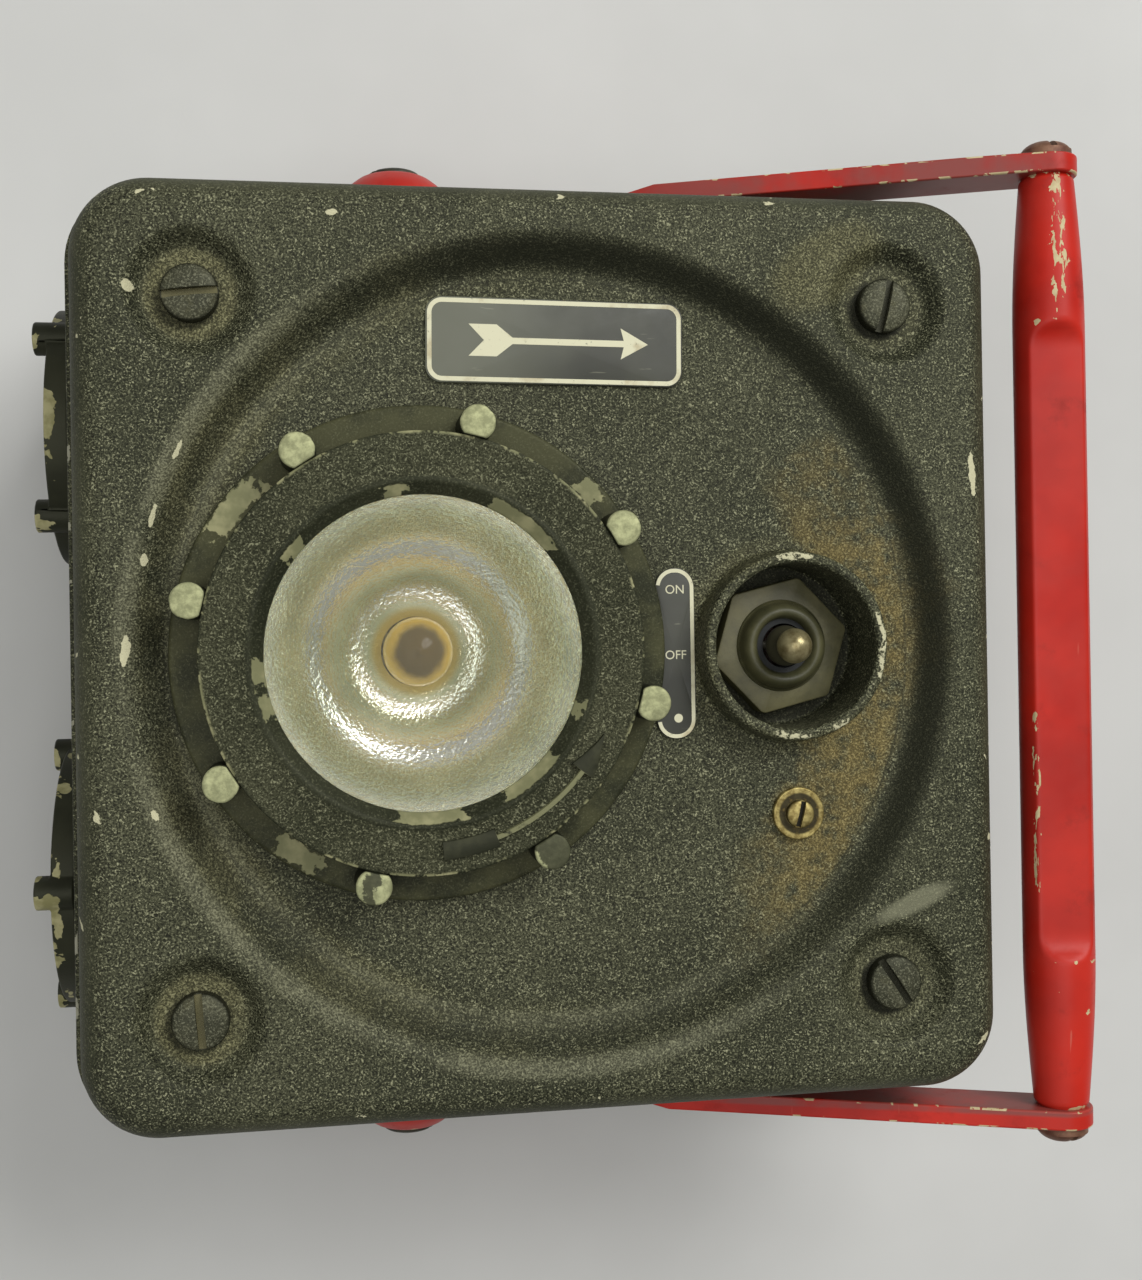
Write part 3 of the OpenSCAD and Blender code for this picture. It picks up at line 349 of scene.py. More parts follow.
def coverEnamel(p):
    x, y, z = axes(p)
    ridges = wrinkle(p)
    sides = p.math("MAXIMUM", p.math("ABSOLUTE", x), p.math("ABSOLUTE", y))
    colour = enamel(p, ridges, step(sides, 0.0685, 0.0712) * 0.75)
    ragged = noise(p, 75, 5, 0.65)
    jitter = noise(p, 420, 4, 0.65)
    centre, switch = oval(p, 0, 0), oval(p, collar["x"], 0)
    # grain is 1 on the wrinkles' ridges: dust and rust take their paler tones there as painted highlight
    grain = step(ridges, 0.40, 0.66)
    screw = screwReach(p)
    west = 1 - step(x, -0.045, 0.02)
    # pale dust at the dish's foot, round the screws and the collar, and near the upper right corner
    foot = band(centre, *coverBands["foot"]) * step(ragged, 0.34, 0.66) * (0.04 + west * 0.46)
    basin = band(screw, *coverBands["basin"]) * step(ragged, 0.2, 0.6) * (0.2 + west * 0.4)
    skirt = band(switch, *coverBands["skirt"]) * step(ragged, 0.35, 0.65) * 0.35
    upper = spot(p, *coverWearAndPaintedLight["upper"], ragged * 0.5 - 0.25) * 0.5
    dust = most(foot, basin, skirt, upper) * (0.7 + 0.6 * jitter)
    colour = mix(dust, colour, mix(grain, *coverWearAndPaintedLight["dust"]))
    # rust stains right of the switch
    sweep = band(centre + ragged * 0.012, *coverBands["sweep"]) * step(x, 0.024, 0.044)
    beside = spot(p, *coverWearAndPaintedLight["beside"], ragged * 1.2 - 0.6, 0.7)
    above = spot(p, *coverWearAndPaintedLight["above"], ragged - 0.5) * 0.5
    stain = most(sweep * (1 - step(y, 0.012, 0.034)), beside, above)
    stain = stain * step(jitter + ragged * 0.6, 0.55, 0.95) * step(switch, 0.0146, 0.0158)
    colour = mix(stain * 0.8, colour, mix(grain, *coverWearAndPaintedLight["rust"]))
    # painted shade: the dish's wall is darkened towards the upper right, with a thin painted dark line in the
    # crease at its foot
    wall = band(centre, *coverBands["wall"]) * (0.06 + 0.8 * step(x + y * 0.7, -0.02, 0.04))
    line = band(centre + (ragged - 0.5) * 0.0008, *coverBands["line"]) * step(jitter, 0.4, 0.5)
    colour = mix(most(wall, line * 0.6), colour, coverWearAndPaintedLight["wall"])
    # painted highlight on its crests on the lower left, with a band of painted shade just inside
    lowerLeft = step(0 - x - y * 0.6, -0.02, 0.03)
    crestHighlight = most(band(centre, *coverBands["crestHighlight"]), band(centre, *coverBands["inner"]) * 0.6)
    crestHighlight = crestHighlight * lowerLeft * step(ragged, 0.3, 0.55)
    colour = mix(band(centre, *coverBands["shade"]) * lowerLeft * 0.3, colour, coverWearAndPaintedLight["wall"])
    colour = mix(crestHighlight * (0.18 + 0.5 * grain), colour, coverWearAndPaintedLight["grey"])
    # painted shadows beside the screw heads, one rubbed patch, and painted shade in the switch's dark well
    at, shadowShift, screwShadow = pocket["at"], pocket["shadowShift"], pocket["screwShadow"]
    screwShadows = [spot(p, i * at + shadowShift, j * at + shadowShift, screwShadow, screwShadow, 0, (jitter - 0.5) * 0.25, 0.16)
            for i, j in pocket["corners"]]
    colour = mix(most(*screwShadows) * (0.55 + 0.35 * step(x, -0.01, 0.01)), colour, coverWearAndPaintedLight["screwShadow"])
    rub = spot(p, *coverWearAndPaintedLight["rub"], ragged * 0.9 - 0.45, 0.5)
    colour = mix(rub * 0.65, colour, coverWearAndPaintedLight["grey"])
    colour = mix((1 - step(switch, 0.0124, 0.0132)) * 0.75, colour, coverWearAndPaintedLight["well"])
    # bare metal on the collar's rim, along the outer edge and in single marks
    rim = arcs(heading(p, collar["x"]) + (jitter - 0.5) * 26, collar["chips"])
    rim = rim * band(switch + (jitter - 0.5) * 0.0020, *coverBands["rim"]) * step(z, 0.0750, 0.0756)
    rim = rim * step(noise(p, 1100, 3), 0.40, 0.48)
    edge = band(sides, *coverBands["edge"]) * 0.36 + band(centre, *coverBands["lip"]) * 0.12
    marks = most(*[spot(p, *place, jitter * 2.4 - 1.2, 0.1) for place in coverWearAndPaintedLight["marks"]])
    bare = most(chips(p, edge), rim, marks)
    colour = mix(bare * 0.9, colour, coverWearAndPaintedLight["bare"])
    return coat(colour, 0.46 + 0.2 * ragged + dust * 0.2, ridges - bare * 0.6, (0.2, 0.7), dullGloss)


def squareReach(turn, half, corner):  # distance from the middle to a square outline with round corners
    c, s = np.abs(np.cos(turn)), np.abs(np.sin(turn))
    straight = half / np.maximum(c, s)
    inset = half - corner
    along = inset * (c + s)
    arc = along + np.sqrt(np.maximum(along ** 2 - 2 * inset ** 2 + corner ** 2, 0))
    return np.where(straight * np.minimum(c, s) <= inset, straight, arc)


def buildCover():
    shape = Shape()
    turn = circle(cover["columns"])
    rows = []

    def row(radius, height):
        height = np.broadcast_to(height, turn.shape)
        rows.append(np.stack([radius * np.cos(turn), radius * np.sin(turn), height], -1))

    # the dish's wall rises from floor to face on a smooth S curve
    for t in np.linspace(0, 1, 25):
        row(cover["dishIn"] + (cover["dishOut"] - cover["dishIn"]) * t,
            cover["floor"] + (cover["face"] - cover["floor"]) * ease(t))
    # the face runs out to the square edge and sinks into four round pockets on S curves
    outer = squareReach(turn, cover["half"] - cover["edge"], cover["corner"] - cover["edge"])
    for t in np.linspace(0, 1, 45)[1:]:
        radius = cover["dishOut"] + (outer - cover["dishOut"]) * t
        across, up = np.abs(radius * np.cos(turn)), np.abs(radius * np.sin(turn))
        off = np.hypot(across - pocket["at"], up - pocket["at"])
        sunk = 1 - ease((off - pocket["inner"]) / (pocket["outer"] - pocket["inner"]))
        row(radius, cover["face"] - pocket["depth"] * sunk)
    # the front edge is a quarter circle, then the skirt goes down and back under the face
    for t in np.radians(np.linspace(0, 90, 10)[1:]):
        inset = cover["edge"] * (1 - math.sin(t))
        row(squareReach(turn, cover["half"] - inset, cover["corner"] - inset),
            cover["face"] - cover["edge"] * (1 - math.cos(t)))
    for inset, rise in [(0, 3), (0, 0.6), (0.2, 0.2), (0.7, 0)]:
        row(squareReach(turn, cover["half"] - inset, cover["corner"] - inset), cover["base"] + rise)
    for radius, height in [(cover["hollow"], cover["base"]), (cover["hollow"] - 0.5, cover["under"] - 0.5),
                           (cover["hollow"] - 1, cover["under"]), (cover["dishIn"], cover["under"])]:
        row(radius, height)
    shape.grid(np.array(rows))
    # the switch's collar and well: one profile from the floor over the rim, down the well and back below
    c, n, floor, under = collar, neck, cover["floor"], cover["under"]
    profile = [(c["reach"], floor), (c["outer"] + 0.15, floor), (c["outer"] - 0.2, c["rim"]),
               (c["inner"], c["rim"]), (c["inner"], c["well"]), (c["hole"], c["well"]),
               (c["hole"], c["panel"]), (c["outer"], c["panel"]), (c["outer"], under), (c["reach"], under)]
    shape.grid(spun(rounded(profile, [0, 2.4, 1.3, 1, 0.8, 0.3, 0.3, 0.6, 0.4, 0], 7), roundColumns, c["x"]))
    profile = [(n["reach"], floor), (n["outer"], floor), (n["outer"], n["top"]),
               (n["inner"], n["top"]), (n["inner"], under), (n["reach"], under)]
    shape.grid(spun(rounded(profile, [0, 0.4, 0.4, 0.4, 0.4, 0], 4), roundColumns, n["x"]))
    # the flat floor and its underside fill the space between the three circles
    rims = [spun([(cover["dishIn"], 0)], cover["columns"])[0]]
    rims += [spun([(hole["reach"], 0)], roundColumns, hole["x"])[0] for hole in (c, n)]
    starts = np.cumsum([0] + [len(rim) for rim in rims[:-1]])
    edges = [np.c_[np.arange(len(rim)), (np.arange(len(rim)) + 1) % len(rim)] + start
             for rim, start in zip(rims, starts)]
    flat = np.concatenate(rims)[:, :2]
    filled = delaunay_2d_cdt(list(map(Vector, flat)), np.concatenate(edges).tolist(), [], 1, 1e-6)
    points, triangles = np.array(list(map(tuple, filled[0]))), np.array(filled[2])
    middle = points[triangles].mean(1)
    outside = [np.hypot(middle[:, 0] - hole["x"], middle[:, 1]) > hole["reach"] for hole in (c, n)]
    kept = outside[0] & outside[1]
    for height in (floor, under):
        shape.add(np.c_[points, np.full(len(points), height)], triangles[kept])
    shape.piece("coverCasting", paint(coverEnamel), "housing", "cast_enamel", ("front_cover",), 50)


# lens ring with its pegs and turning arrow
lensRing = {"flange": 37.9, "raised": 33.1, "groove": 26.7, "bead": 25.9, "slope": 25.4, "open": 23.7,
            "bore": 29.8, "low": 71.2, "flangeTop": 74, "top": 81, "lip": 79, "pegs": 8, "pegTurn": 31.5,
            "pegAt": 35.2, "pegRadius": 2.75, "pegTop": 81.6, "chord": -2.1}
turnArrow = {"radius": 29.4, "tail": (-86, -70), "head": (-38, -25.5), "tailHalf": 1.35, "shaftHalf": 0.4,
             "headHalf": 1.9, "rise": 0.75}
# spans of bare metal in degrees, and its tones
ringWear = {"lip": [(98, 105), (40, 64), (136, 145), (-179, -170), (-165, -158), (-101, -78), (-61, -37),
                    (-23, -18)],
            "flange": [(134, 149), (40, 46), (-128, -117)], "painted": [(-60, -54), (-105, -103)],
            "khaki": (126, 126, 92), "pale": (158, 155, 116)}


def ringEnamel(p):
    z = axes(p)[2]
    reach, turn = oval(p, neck["x"], 0), heading(p, neck["x"])
    jitter = noise(p, 420, 4, 0.6)
    ridges = wrinkle(p)
    ragged = noise(p, 110, 5, 0.6)
    smooth = mix(step(noise(p, 40, 4), 0.35, 0.7), (28, 31, 21), (46, 48, 34))
    top = band(reach, 0.0266, 0.0325, 0.0005) * step(z, 0.0800, 0.0806)
    colour = mix(0.3 + top * 0.7, smooth, enamel(p, ridges, 0.3))
    crease = band(z, 0.0739, 0.0746, 0.0006) * step(ragged, 0.38, 0.6)
    colour = mix(crease * 0.35, colour, (98, 97, 66))
    # bare metal on the lip, on the flange and along the upper edge
    shaken = turn + (jitter - 0.5) * 16
    lip = arcs(shaken, ringWear["lip"], 0.6) * band(reach + (jitter - 0.5) * 0.0012, 0.0234, 0.0253, 0.0002)
    lip = lip * step(z, 0.0789, 0.0791)
    low = 1 - step(z, 0.0741, 0.0746)
    flange = arcs(shaken, ringWear["flange"], 0.8)
    flange = flange * band(reach + (jitter - 0.5) * 0.004, 0.0342, 0.0372, 0.0003) * low
    line = worn(p) * step(ragged * 0.7 + noise(p, 900, 2) * 0.35, 0.52, 0.58)
    bare = most(lip, flange, line, chips(p, band(reach, 0.0335, 0.0380, 0.0004) * low * 0.12))
    metal = mix(step(noise(p, 300, 3), 0.4, 0.7), ringWear["khaki"], ringWear["pale"])
    colour = mix(bare * 0.92, colour, metal)
    height = ridges * (0.2 + top * 0.8) - bare * 0.5
    return coat(colour, 0.36 + 0.2 * ragged + top * 0.12, height, (0.18, 0.65),
                {**dullGloss, "Specular IOR Level": 0.14})


def arrowEnamel(p):  # smooth, with the thin shaft rubbed to khaki
    patch = noise(p, 300, 4, 0.6)
    colour = mix(step(patch, 0.35, 0.7), (34, 36, 25), (56, 57, 41))
    rubbed = worn(p) * step(patch, 0.36, 0.46)
    colour = mix(rubbed * 0.85, colour, ringWear["khaki"])
    return coat(colour, 0.5 + 0.2 * patch, wrinkle(p), (0.06, 0.4), dullGloss)


def pegEnamel(p):
    z = axes(p)[2]
    jitter = noise(p, 420, 4, 0.6)
    painted = arcs(heading(p, neck["x"]) + (jitter - 0.5) * 10, ringWear["painted"], 0.8)
    bare = step(z + jitter * 0.0008, 0.08175, 0.0819) * (1 - painted * 0.85)
    colour = mix(step(noise(p, 250, 3), 0.4, 0.7), (30, 32, 23), (52, 53, 38))
    metal = mix(step(noise(p, 600, 4, 0.7), 0.35, 0.7), (134, 136, 101), (178, 180, 136))
    return coat(mix(bare, colour, metal), 0.42 + jitter * 0.2, noise(p, 900, 3), (0.08, 0.4),
                {"Metallic": bare * 0.35, **dullGloss})


def buildRing():
    g = lensRing
    ringPaint = paint(ringEnamel)
    # closed profile: flange, raised wall, a low bead beside the groove, a sloping lip, the bore
    profile = [(g["bore"], g["low"]), (g["flange"], g["low"]), (g["flange"], g["flangeTop"]),
               (g["raised"], g["flangeTop"]), (g["raised"], g["top"] - 0.7), (g["raised"], g["top"] - 0.1),
               (g["raised"] - 0.65, g["top"] - 0.1), (g["groove"], g["top"] - 0.25),
               (g["bead"], g["top"]), (g["slope"], g["top"] - 0.15), (g["open"], g["lip"] + 0.5),
               (g["open"], g["lip"]),
               (g["bore"] - 0.6, g["lip"]), (g["bore"], g["lip"] - 0.6)]
    cuts = [0.3, 0.7, 0.7, 0.6, 0.1, 0.24, 0.1, 0.4, 0.3, 0.3, 0.3, 0.2, 0.3, 0.3]
    wear = np.zeros((len(profile), 6))
    wear[5] = 1
    shape = Shape().grid(spun(rounded(profile, cuts, 5, True), 240, neck["x"]), True, wear.ravel())
    shape.piece("ringCasting", ringPaint, "ring", "ring_enamel", ("lens_ring",), 50)
    # each peg is a cylinder cut flat against the ring's wall, with a soft top
    turn = np.radians(g["pegTurn"] + 360 / g["pegs"] * np.arange(g["pegs"]))
    around = circle(56)
    foot, top = g["low"] + 1, g["pegTop"]
    levels = np.array([(0, foot), (1, foot), (1, top - 0.45), (0.985, top - 0.22), (0.94, top - 0.06),
                       (0.86, top), (0, top)])
    out = g["pegAt"] + levels[:, :1] * np.maximum(g["pegRadius"] * np.cos(around), g["chord"])
    side = levels[:, :1] * g["pegRadius"] * np.sin(around)
    pegs = Shape()
    for c, s in zip(np.cos(turn), np.sin(turn)):
        pegs.grid(np.stack([neck["x"] + out * c - side * s, out * s + side * c,
                            np.broadcast_to(levels[:, 1:], out.shape)], -1))
    pegs.piece("ringPegs", paint(pegEnamel), "ring", "ring_enamel", (), 45)
    # the turning arrow is a low ridge along an arc, whose half width follows tail, shaft and head
    a = turnArrow
    (start, waist), (barb, tip) = a["tail"], a["head"]
    along = np.r_[start, np.linspace(start, waist, 10), waist + 0.2, np.linspace(waist + 1, barb - 1, 24),
                  barb - 0.2, np.linspace(barb, tip, 14)]
    taper = a["headHalf"] * (tip - along) / (tip - barb) + 0.03
    half = np.where(along <= waist, a["tailHalf"], np.where(along >= barb, taper, a["shaftHalf"]))
    base, top = g["top"] - 0.6, g["top"] - 0.15 + a["rise"]
    side = np.array([-1, -1, -0.8, 0.8, 1, 1])
    radius = a["radius"] + half[:, None] * side
    c, s = np.cos(np.radians(along))[:, None], np.sin(np.radians(along))[:, None]
    height = np.broadcast_to([base, top - 0.15, top, top, top - 0.15, base], radius.shape)
    rows = np.stack([neck["x"] + radius * c, radius * s, height], -1)
    shaft = (along > waist) & (along < barb)
    Shape().grid(capped(rows, rows[[0, -1]].mean(1)), False, np.r_[0, shaft, 0]).piece(
        "turnArrow", paint(arrowEnamel), "ring", "ring_enamel", (), 40)
    return ringPaint


# lens, reflector and bulb
lensDisc = {"radius": 29.3, "low": 76.5, "high": 79, "dome": 0.35}
bowl = {"mouth": 25, "rim": 26.8, "rimZ": 74.25, "focal": 8, "hole": 5.7, "wall": 1.3, "wave": 0.5,
        "waves": 2.6, "dull": ((188, 194, 167), (218, 223, 196)), "silver": (255, 255, 242),
        "amberReflection": (232, 198, 92),
        # each painted glint ring: from, to, and the angle of its glint
        "rings": [(7.2, 9, 70), (14.4, 17.2, 105), (24.8, 27, 60)]}
bulb = {"radius": 5.6, "flange": 51.3, "height": 15}


def lensClear(p):
    smear = noise(p, 70, 4, 0.6)
    reach = oval(p, neck["x"], 0)
    scratch = stretched(p, (90, 1500, 90))
    film = step(smear, 0.45, 0.8) * 0.03 + step(reach, 0.0205, 0.0245) * 0.10
    film = film + step(noise(scratch, 1, 2), 0.72, 0.76) * 0.10
    return coat(tone(206, 208, 190), 0.07 + 0.08 * smear, noise(p, 260, 2), (0.03, 0.15),
                {"Alpha": 0.05 + film, "IOR": 1.5})


def bowlSilver(p):
    tarnish = noise(p, 90, 4, 0.6)
    reach = oval(p, neck["x"], 0)
    x, y = axes(p)[:2]
    colour = mix(step(tarnish, 0.35, 0.75), *bowl["dull"])
    # painted highlights: each glint ring is brightest on the two sides its angle points to
    for low, high, turn in bowl["rings"]:  # each ring shines most on the two sides its angle points to
        c, s = math.cos(math.radians(turn)), math.sin(math.radians(turn))
        glintFacing = p.math("ABSOLUTE", (x - neck["x"] * mm) * c + y * s) / (reach + 0.0001)
        paintedHighlight = band(reach + (tarnish - 0.5) * 0.002, low * mm, high * mm, 0.0026)
        colour = mix(paintedHighlight * (0.2 + 0.8 * step(glintFacing, 0.3, 0.95)), colour, bowl["silver"])
    # painted reflection of the amber bulb round the hole
    colour = mix((1 - step(reach, 0.0064, 0.0080)) * 0.8, colour, bowl["amberReflection"])
    return coat(colour, 0.22 + 0.08 * tarnish, noise(p, 1500, 2, 0.5), (0.3, 0.75), {"Metallic": 0.9})


def bulbGlass(p):
    z = axes(p)[2]
    smoke = noise(p, 240, 3, 0.6)
    reach = oval(p, neck["x"], 0) + (smoke - 0.5) * 0.002
    colour = mix(step(reach, 0.0033, 0.0051), (94, 76, 40), (212, 174, 68))
    colour = mix(step(z, 0.0590, 0.0612), (216, 218, 196), colour)
    return coat(colour, 0.1 + 0.08 * smoke, smoke, (0.04, 0.2),
                {"Alpha": 0.86 + 0.12 * smoke, "IOR": 1.5, "Specular IOR Level": 0.12})


def buildOptics():
    # the lens is a disc with a slight dome
    d = lensDisc
    radius = np.linspace(0, d["radius"] - 0.4, 24)
    edge, low, high = d["radius"], d["low"], d["high"]
    crown = np.c_[radius, high - d["dome"] * (radius / edge) ** 2]
    side = [(edge, high - d["dome"] - 0.4), (edge, low + 0.3), (edge - 0.3, low), (0, low)]
    Shape().grid(spun(np.r_[crown, side], roundColumns, neck["x"])).piece(
        "lensDisc", paint(lensClear), "lens_carrier", "lens_clear", ("lens",), 40)
    # the bowl is a paraboloid with faint rings from its spinning, a flat rim and a hole for the bulb
    b = bowl
    radius = np.linspace(b["hole"], b["mouth"], 70)
    share = (radius - b["hole"]) / (b["mouth"] - b["hole"])
    height = b["rimZ"] + (radius ** 2 - b["mouth"] ** 2) / 4 / b["focal"]
    height = height + b["wave"] * np.sin(2 * math.pi * b["waves"] * share) * np.sin(math.pi * share)
    inside = np.c_[radius, height]
    rim = [(b["rim"], b["rimZ"]), (b["rim"], b["rimZ"] - 1)]
    profile = np.r_[inside, rim, inside[::-1] - (0, b["wall"])]
    Shape().grid(spun(profile, roundColumns, neck["x"]), True).piece(
        "reflectorBowl", paint(bowlSilver), "housing", "bowl_silver", ("reflector",), 50)
    # the bulb's glass: a straight neck under a half ball with a small nipple
    g = bulb
    centre = g["flange"] + 0.8 + g["height"] - g["radius"]
    arc = np.radians(np.linspace(90, 0, 26))
    ball = np.c_[g["radius"] * np.cos(arc), centre + g["radius"] * np.sin(arc)]
    ball[:, 1] += 0.5 * np.exp(-(ball[:, 0] / 0.6) ** 2)
    ball[0, 0] = 0
    foot = [(g["radius"] * 0.96, g["flange"] + 3), (g["radius"] * 0.8, g["flange"] + 0.85),
            (0, g["flange"] + 0.85)]
    Shape().grid(spun(np.r_[ball, foot], 64, neck["x"])).piece(
        "bulbGlass", paint(bulbGlass), "housing", "bulb_glass", ("lamp_bulb",), 40)


def slottedHead(shape, place, out, size):  # a low dome in two halves beside its slot, over a disc and a shank
    out = np.array(out, float)
    first = np.array([1, 0, 0])
    second = np.cross(out, first)
    radius, slot, floor = size["radius"], size["slot"], size["floor"]
    limit = math.acos(slot / radius)
    arc, edge = np.linspace(-limit, limit, 44), np.linspace(1, -1, 22)[1:-1] * math.sin(limit)
    half = radius * np.c_[np.r_[np.cos(arc), 0 * edge + math.cos(limit)], np.r_[np.sin(arc), edge]]
    rise = np.radians(np.linspace(0, 90, 10))
    share = np.r_[0, 1, np.cos(rise)]
    height = np.r_[floor - 0.1, floor - 0.1, size["skirt"] + (size["height"] - size["skirt"]) * np.sin(rise)]
    chord = np.array([slot, 0])
    flat = chord + (half - chord)[None] * share[:, None, None]
    flat[0, :, 0] += (radius - slot) / 2  # the lower fan's middle lies inside the half disc
    for angle in np.radians((size["turn"] - 90, size["turn"] + 90)):
        c, s = math.cos(angle), math.sin(angle)
        along, across = flat[..., 0] * c - flat[..., 1] * s, flat[..., 0] * s + flat[..., 1] * c
        spread = along[..., None] * first + across[..., None] * second
        shape.grid(place + spread + height[:, None, None] * out)
    thin, deep = size["shank"]
    body = spun([(0, -deep), (thin, -deep), (thin, 0), (radius - 0.1, 0), (radius, 0.1), (radius, floor),
                 (0, floor)], 64)
    return shape.grid(place + body[..., :1] * first + body[..., 1:2] * second + body[..., 2:] * out)


# toggle switch in its well, and the small screw below it
nut = {"across": 20, "turn": 14, "low": 63.5, "top": 67.5, "bore": 6.1}
boot = {"radius": 7.5, "low": 67.5, "peak": 70.4, "hole": 4.3}
lever = {"stem": 1.9, "low": 66.2, "hood": 69.6, "hoodRadius": 3.3, "ball": 2.8, "centre": 74.6}
smallScrew = {"place": (39.5, -27, 71.55), "turn": 76, "radius": 2.25, "height": 1.3, "skirt": 0.75,
              "slot": 0.42, "floor": 0.45, "shank": (1, 2.5)}


def nutOlive(p):
    patch, fine = noise(p, 140, 4, 0.6), noise(p, 1500, 3, 0.6)
    colour = mix(step(patch, 0.3, 0.72), (68, 66, 41), (97, 93, 61))
    colour = mix(step(fine, 0.56, 0.7) * 0.4, colour, (72, 68, 44))
    return coat(colour, 0.38 + 0.2 * patch, fine, (0.08, 0.5), {"Metallic": 0.15})


def leverMetal(p):
    z = axes(p)[2]
    patch = noise(p, 420, 4, 0.65)
    bare = step(z + patch * 0.0012, 0.0742, 0.0752)
    colour = mix(bare, (54, 52, 36), mix(step(patch, 0.3, 0.7), (112, 100, 64), (170, 160, 118)))
    return coat(colour, 0.42 - bare * 0.16 + patch * 0.1, patch, (0.05, 0.35), {"Metallic": bare * 0.6})


def buildSwitch(rubber, brass):
    # hexagon: half the width over the cosine of the angle from the nearest side, its corners cut round
    turn = circle(240)
    side = np.mod(turn - math.radians(nut["turn"]), math.pi / 3) - math.pi / 6
    reach = np.minimum(nut["across"] / 2 / np.cos(side), nut["across"] / 2 * 1.135)
    bore, low, top = nut["bore"], nut["low"], nut["top"]
    rows = [(bore, low), (reach - 0.2, low), (reach, low + 0.2), (reach, top - 0.3),
            (reach - 0.09, top - 0.09), (reach - 0.3, top), (bore, top)]
    rows = np.array([np.c_[r * np.cos(turn) + collar["x"], r * np.sin(turn), 0 * turn + z] for r, z in rows])
    Shape().grid(rows, True).piece("hexNut", paint(nutOlive), "housing", "dark_steel", ("switch_nut",), 30)
    # a half ring of rubber round the lever, with a groove at its foot
    b = boot
    across = np.linspace(1, 0, 26)
    swell = np.sqrt(np.clip(1 - (2 * across - 1) ** 2, 0, 1)) * (1 - 0.12 * across)
    edge, hole, low = b["radius"], b["hole"], b["low"]
    ring = np.c_[hole + (edge - 0.5 - hole) * across, low + 0.25 + (b["peak"] - low - 0.25) * swell]
    foot = [(edge, low), (edge - 0.15, low + 0.3), (edge - 0.35, low + 0.1)]
    hem = [(hole, low + 0.1), (hole + 0.2, low)]
    Shape().grid(spun(np.r_[foot, ring, hem], 96, collar["x"]), True).piece(
        "bootDome", rubber, "housing", "boot_rubber", ("switch_boot",), 60)
    # the lever: a stem, a hood that narrows upwards, and a ball of metal
    v = lever
    arc = np.radians(np.linspace(-38, 90, 26))
    ball = np.c_[v["ball"] * np.cos(arc), v["centre"] + v["ball"] * np.sin(arc)]
    ball[-1, 0] = 0
    hood = rounded([(v["stem"], v["hood"] - 0.2), (v["hoodRadius"], v["hood"]),
                    (v["hoodRadius"] - 0.1, v["hood"] + 1.2), (ball[0, 0], ball[0, 1])], [0, 0.2, 0.6, 0], 4)
    Shape().grid(spun(np.r_[[(0, v["low"]), (v["stem"], v["low"])], hood, ball], 64, collar["x"])).piece(
        "leverBall", paint(leverMetal), "toggle", "lever_metal", ("toggle_lever",), 50)
    shape = slottedHead(Shape(), smallScrew["place"], (0, 0, 1), smallScrew)
    shape.piece("smallScrew", brass, "housing", "brass_metal", ("impact_screw",), 40)


# the inertia switch's spring, pressed by its weight
weightSpring = {"left": 33.6, "right": 45.4, "y": -27, "z": 56.9, "radius": 3.7, "wire": 0.4, "turns": 6}


def buildSpring(steel):
    s = weightSpring
    # a round wire along a helix about X, whose first and last turn lie closer
    share = np.linspace(0, 1, 40 * s["turns"] + 1)
    angle = 2 * math.pi * s["turns"] * share
    span = s["right"] - s["left"] - 2 * s["wire"]
    along = s["left"] + s["wire"] + span * (0.75 * share + 0.25 * ease(share))
    out = np.stack([0 * angle, np.cos(angle), np.sin(angle)], -1)
    spine = out * s["radius"] + np.stack([along, 0 * angle + s["y"], 0 * angle + s["z"]], -1)
    around = circle(12)
    ahead = np.array([1, 0, 0])
    section = np.cos(around)[:, None] * out[:, None] + np.sin(around)[:, None] * ahead
    rows = spine[:, None] + s["wire"] * section
    place = [(s[end] * mm, s["y"] * mm, s["z"] * mm) for end in ("right", "left")]
    Shape().grid(capped(rows, spine[[0, -1]])).piece(
        "weightSpring", steel, {"a": "housing", "b": "inertia_weight", "start": place[0], "end": place[1]},
        "spring_steel", ("impact_spring",), 50)


# bail handle
handle = {"pivot": (-21.5, 30), "tilt": 20, "side": 74.25, "gripOut": 10.9, "half": 77.35, "radius": 5.8,
          "endRadius": 4.4, "swell": 26, "flat": 97, "flatAt": 3.8, "flatTurn": 12, "scoop": 4.6}
boss = [(0, 77.5), (11.6, 77.5), (11.6, 78.6), (10.6, 80.6), (8.6, 83.2), (6.4, 84.9), (5.2, 85.4), (0, 85.4)]
pivotScrew = {"at": 85.3, "turn": 35, "radius": 4.7, "height": 1.5, "skirt": 0.35, "slot": 0.6, "floor": 0.3,
              "shank": (3, 9)}
gripScrew = {"at": 80.5, "turn": 84, "radius": 4.2, "height": 2.9, "skirt": 0.6, "slot": 0.55, "floor": 1.2,
             "shank": (2, 12)}


def redPaint(p, bare, dust=0.1, veil=(172, 92, 82)):  # bare: share of chipped metal, dust: share of the veil
    broad = noise(p, 35, 4, 0.6)
    colour = mix(step(broad, 0.3, 0.7), (164, 26, 15), (198, 38, 22))
    grime = step(noise(p, 110, 5, 0.7), 0.55, 0.75)
    colour = mix(grime * 0.4, colour, (96, 20, 14))
    scratch = stretched(p, (900, 60, 900), (0.1, 0.2, 0.3))
    colour = mix(step(noise(scratch, 1, 2), 0.74, 0.78) * 0.5, colour, (206, 110, 92))
    dusty = step(noise(p, 60, 4, 0.6), 0.32, 0.6) * dust
    colour = mix(dusty, colour, veil)
    colour = mix(bare, colour, mix(noise(p, 800, 2), (166, 144, 98), (218, 206, 164)))
    return coat(colour, 0.4 + grime * 0.2 + bare * 0.2, noise(p, 300, 3) - bare * 0.8, (0.07, 0.4),
                {"Specular IOR Level": 0.22})


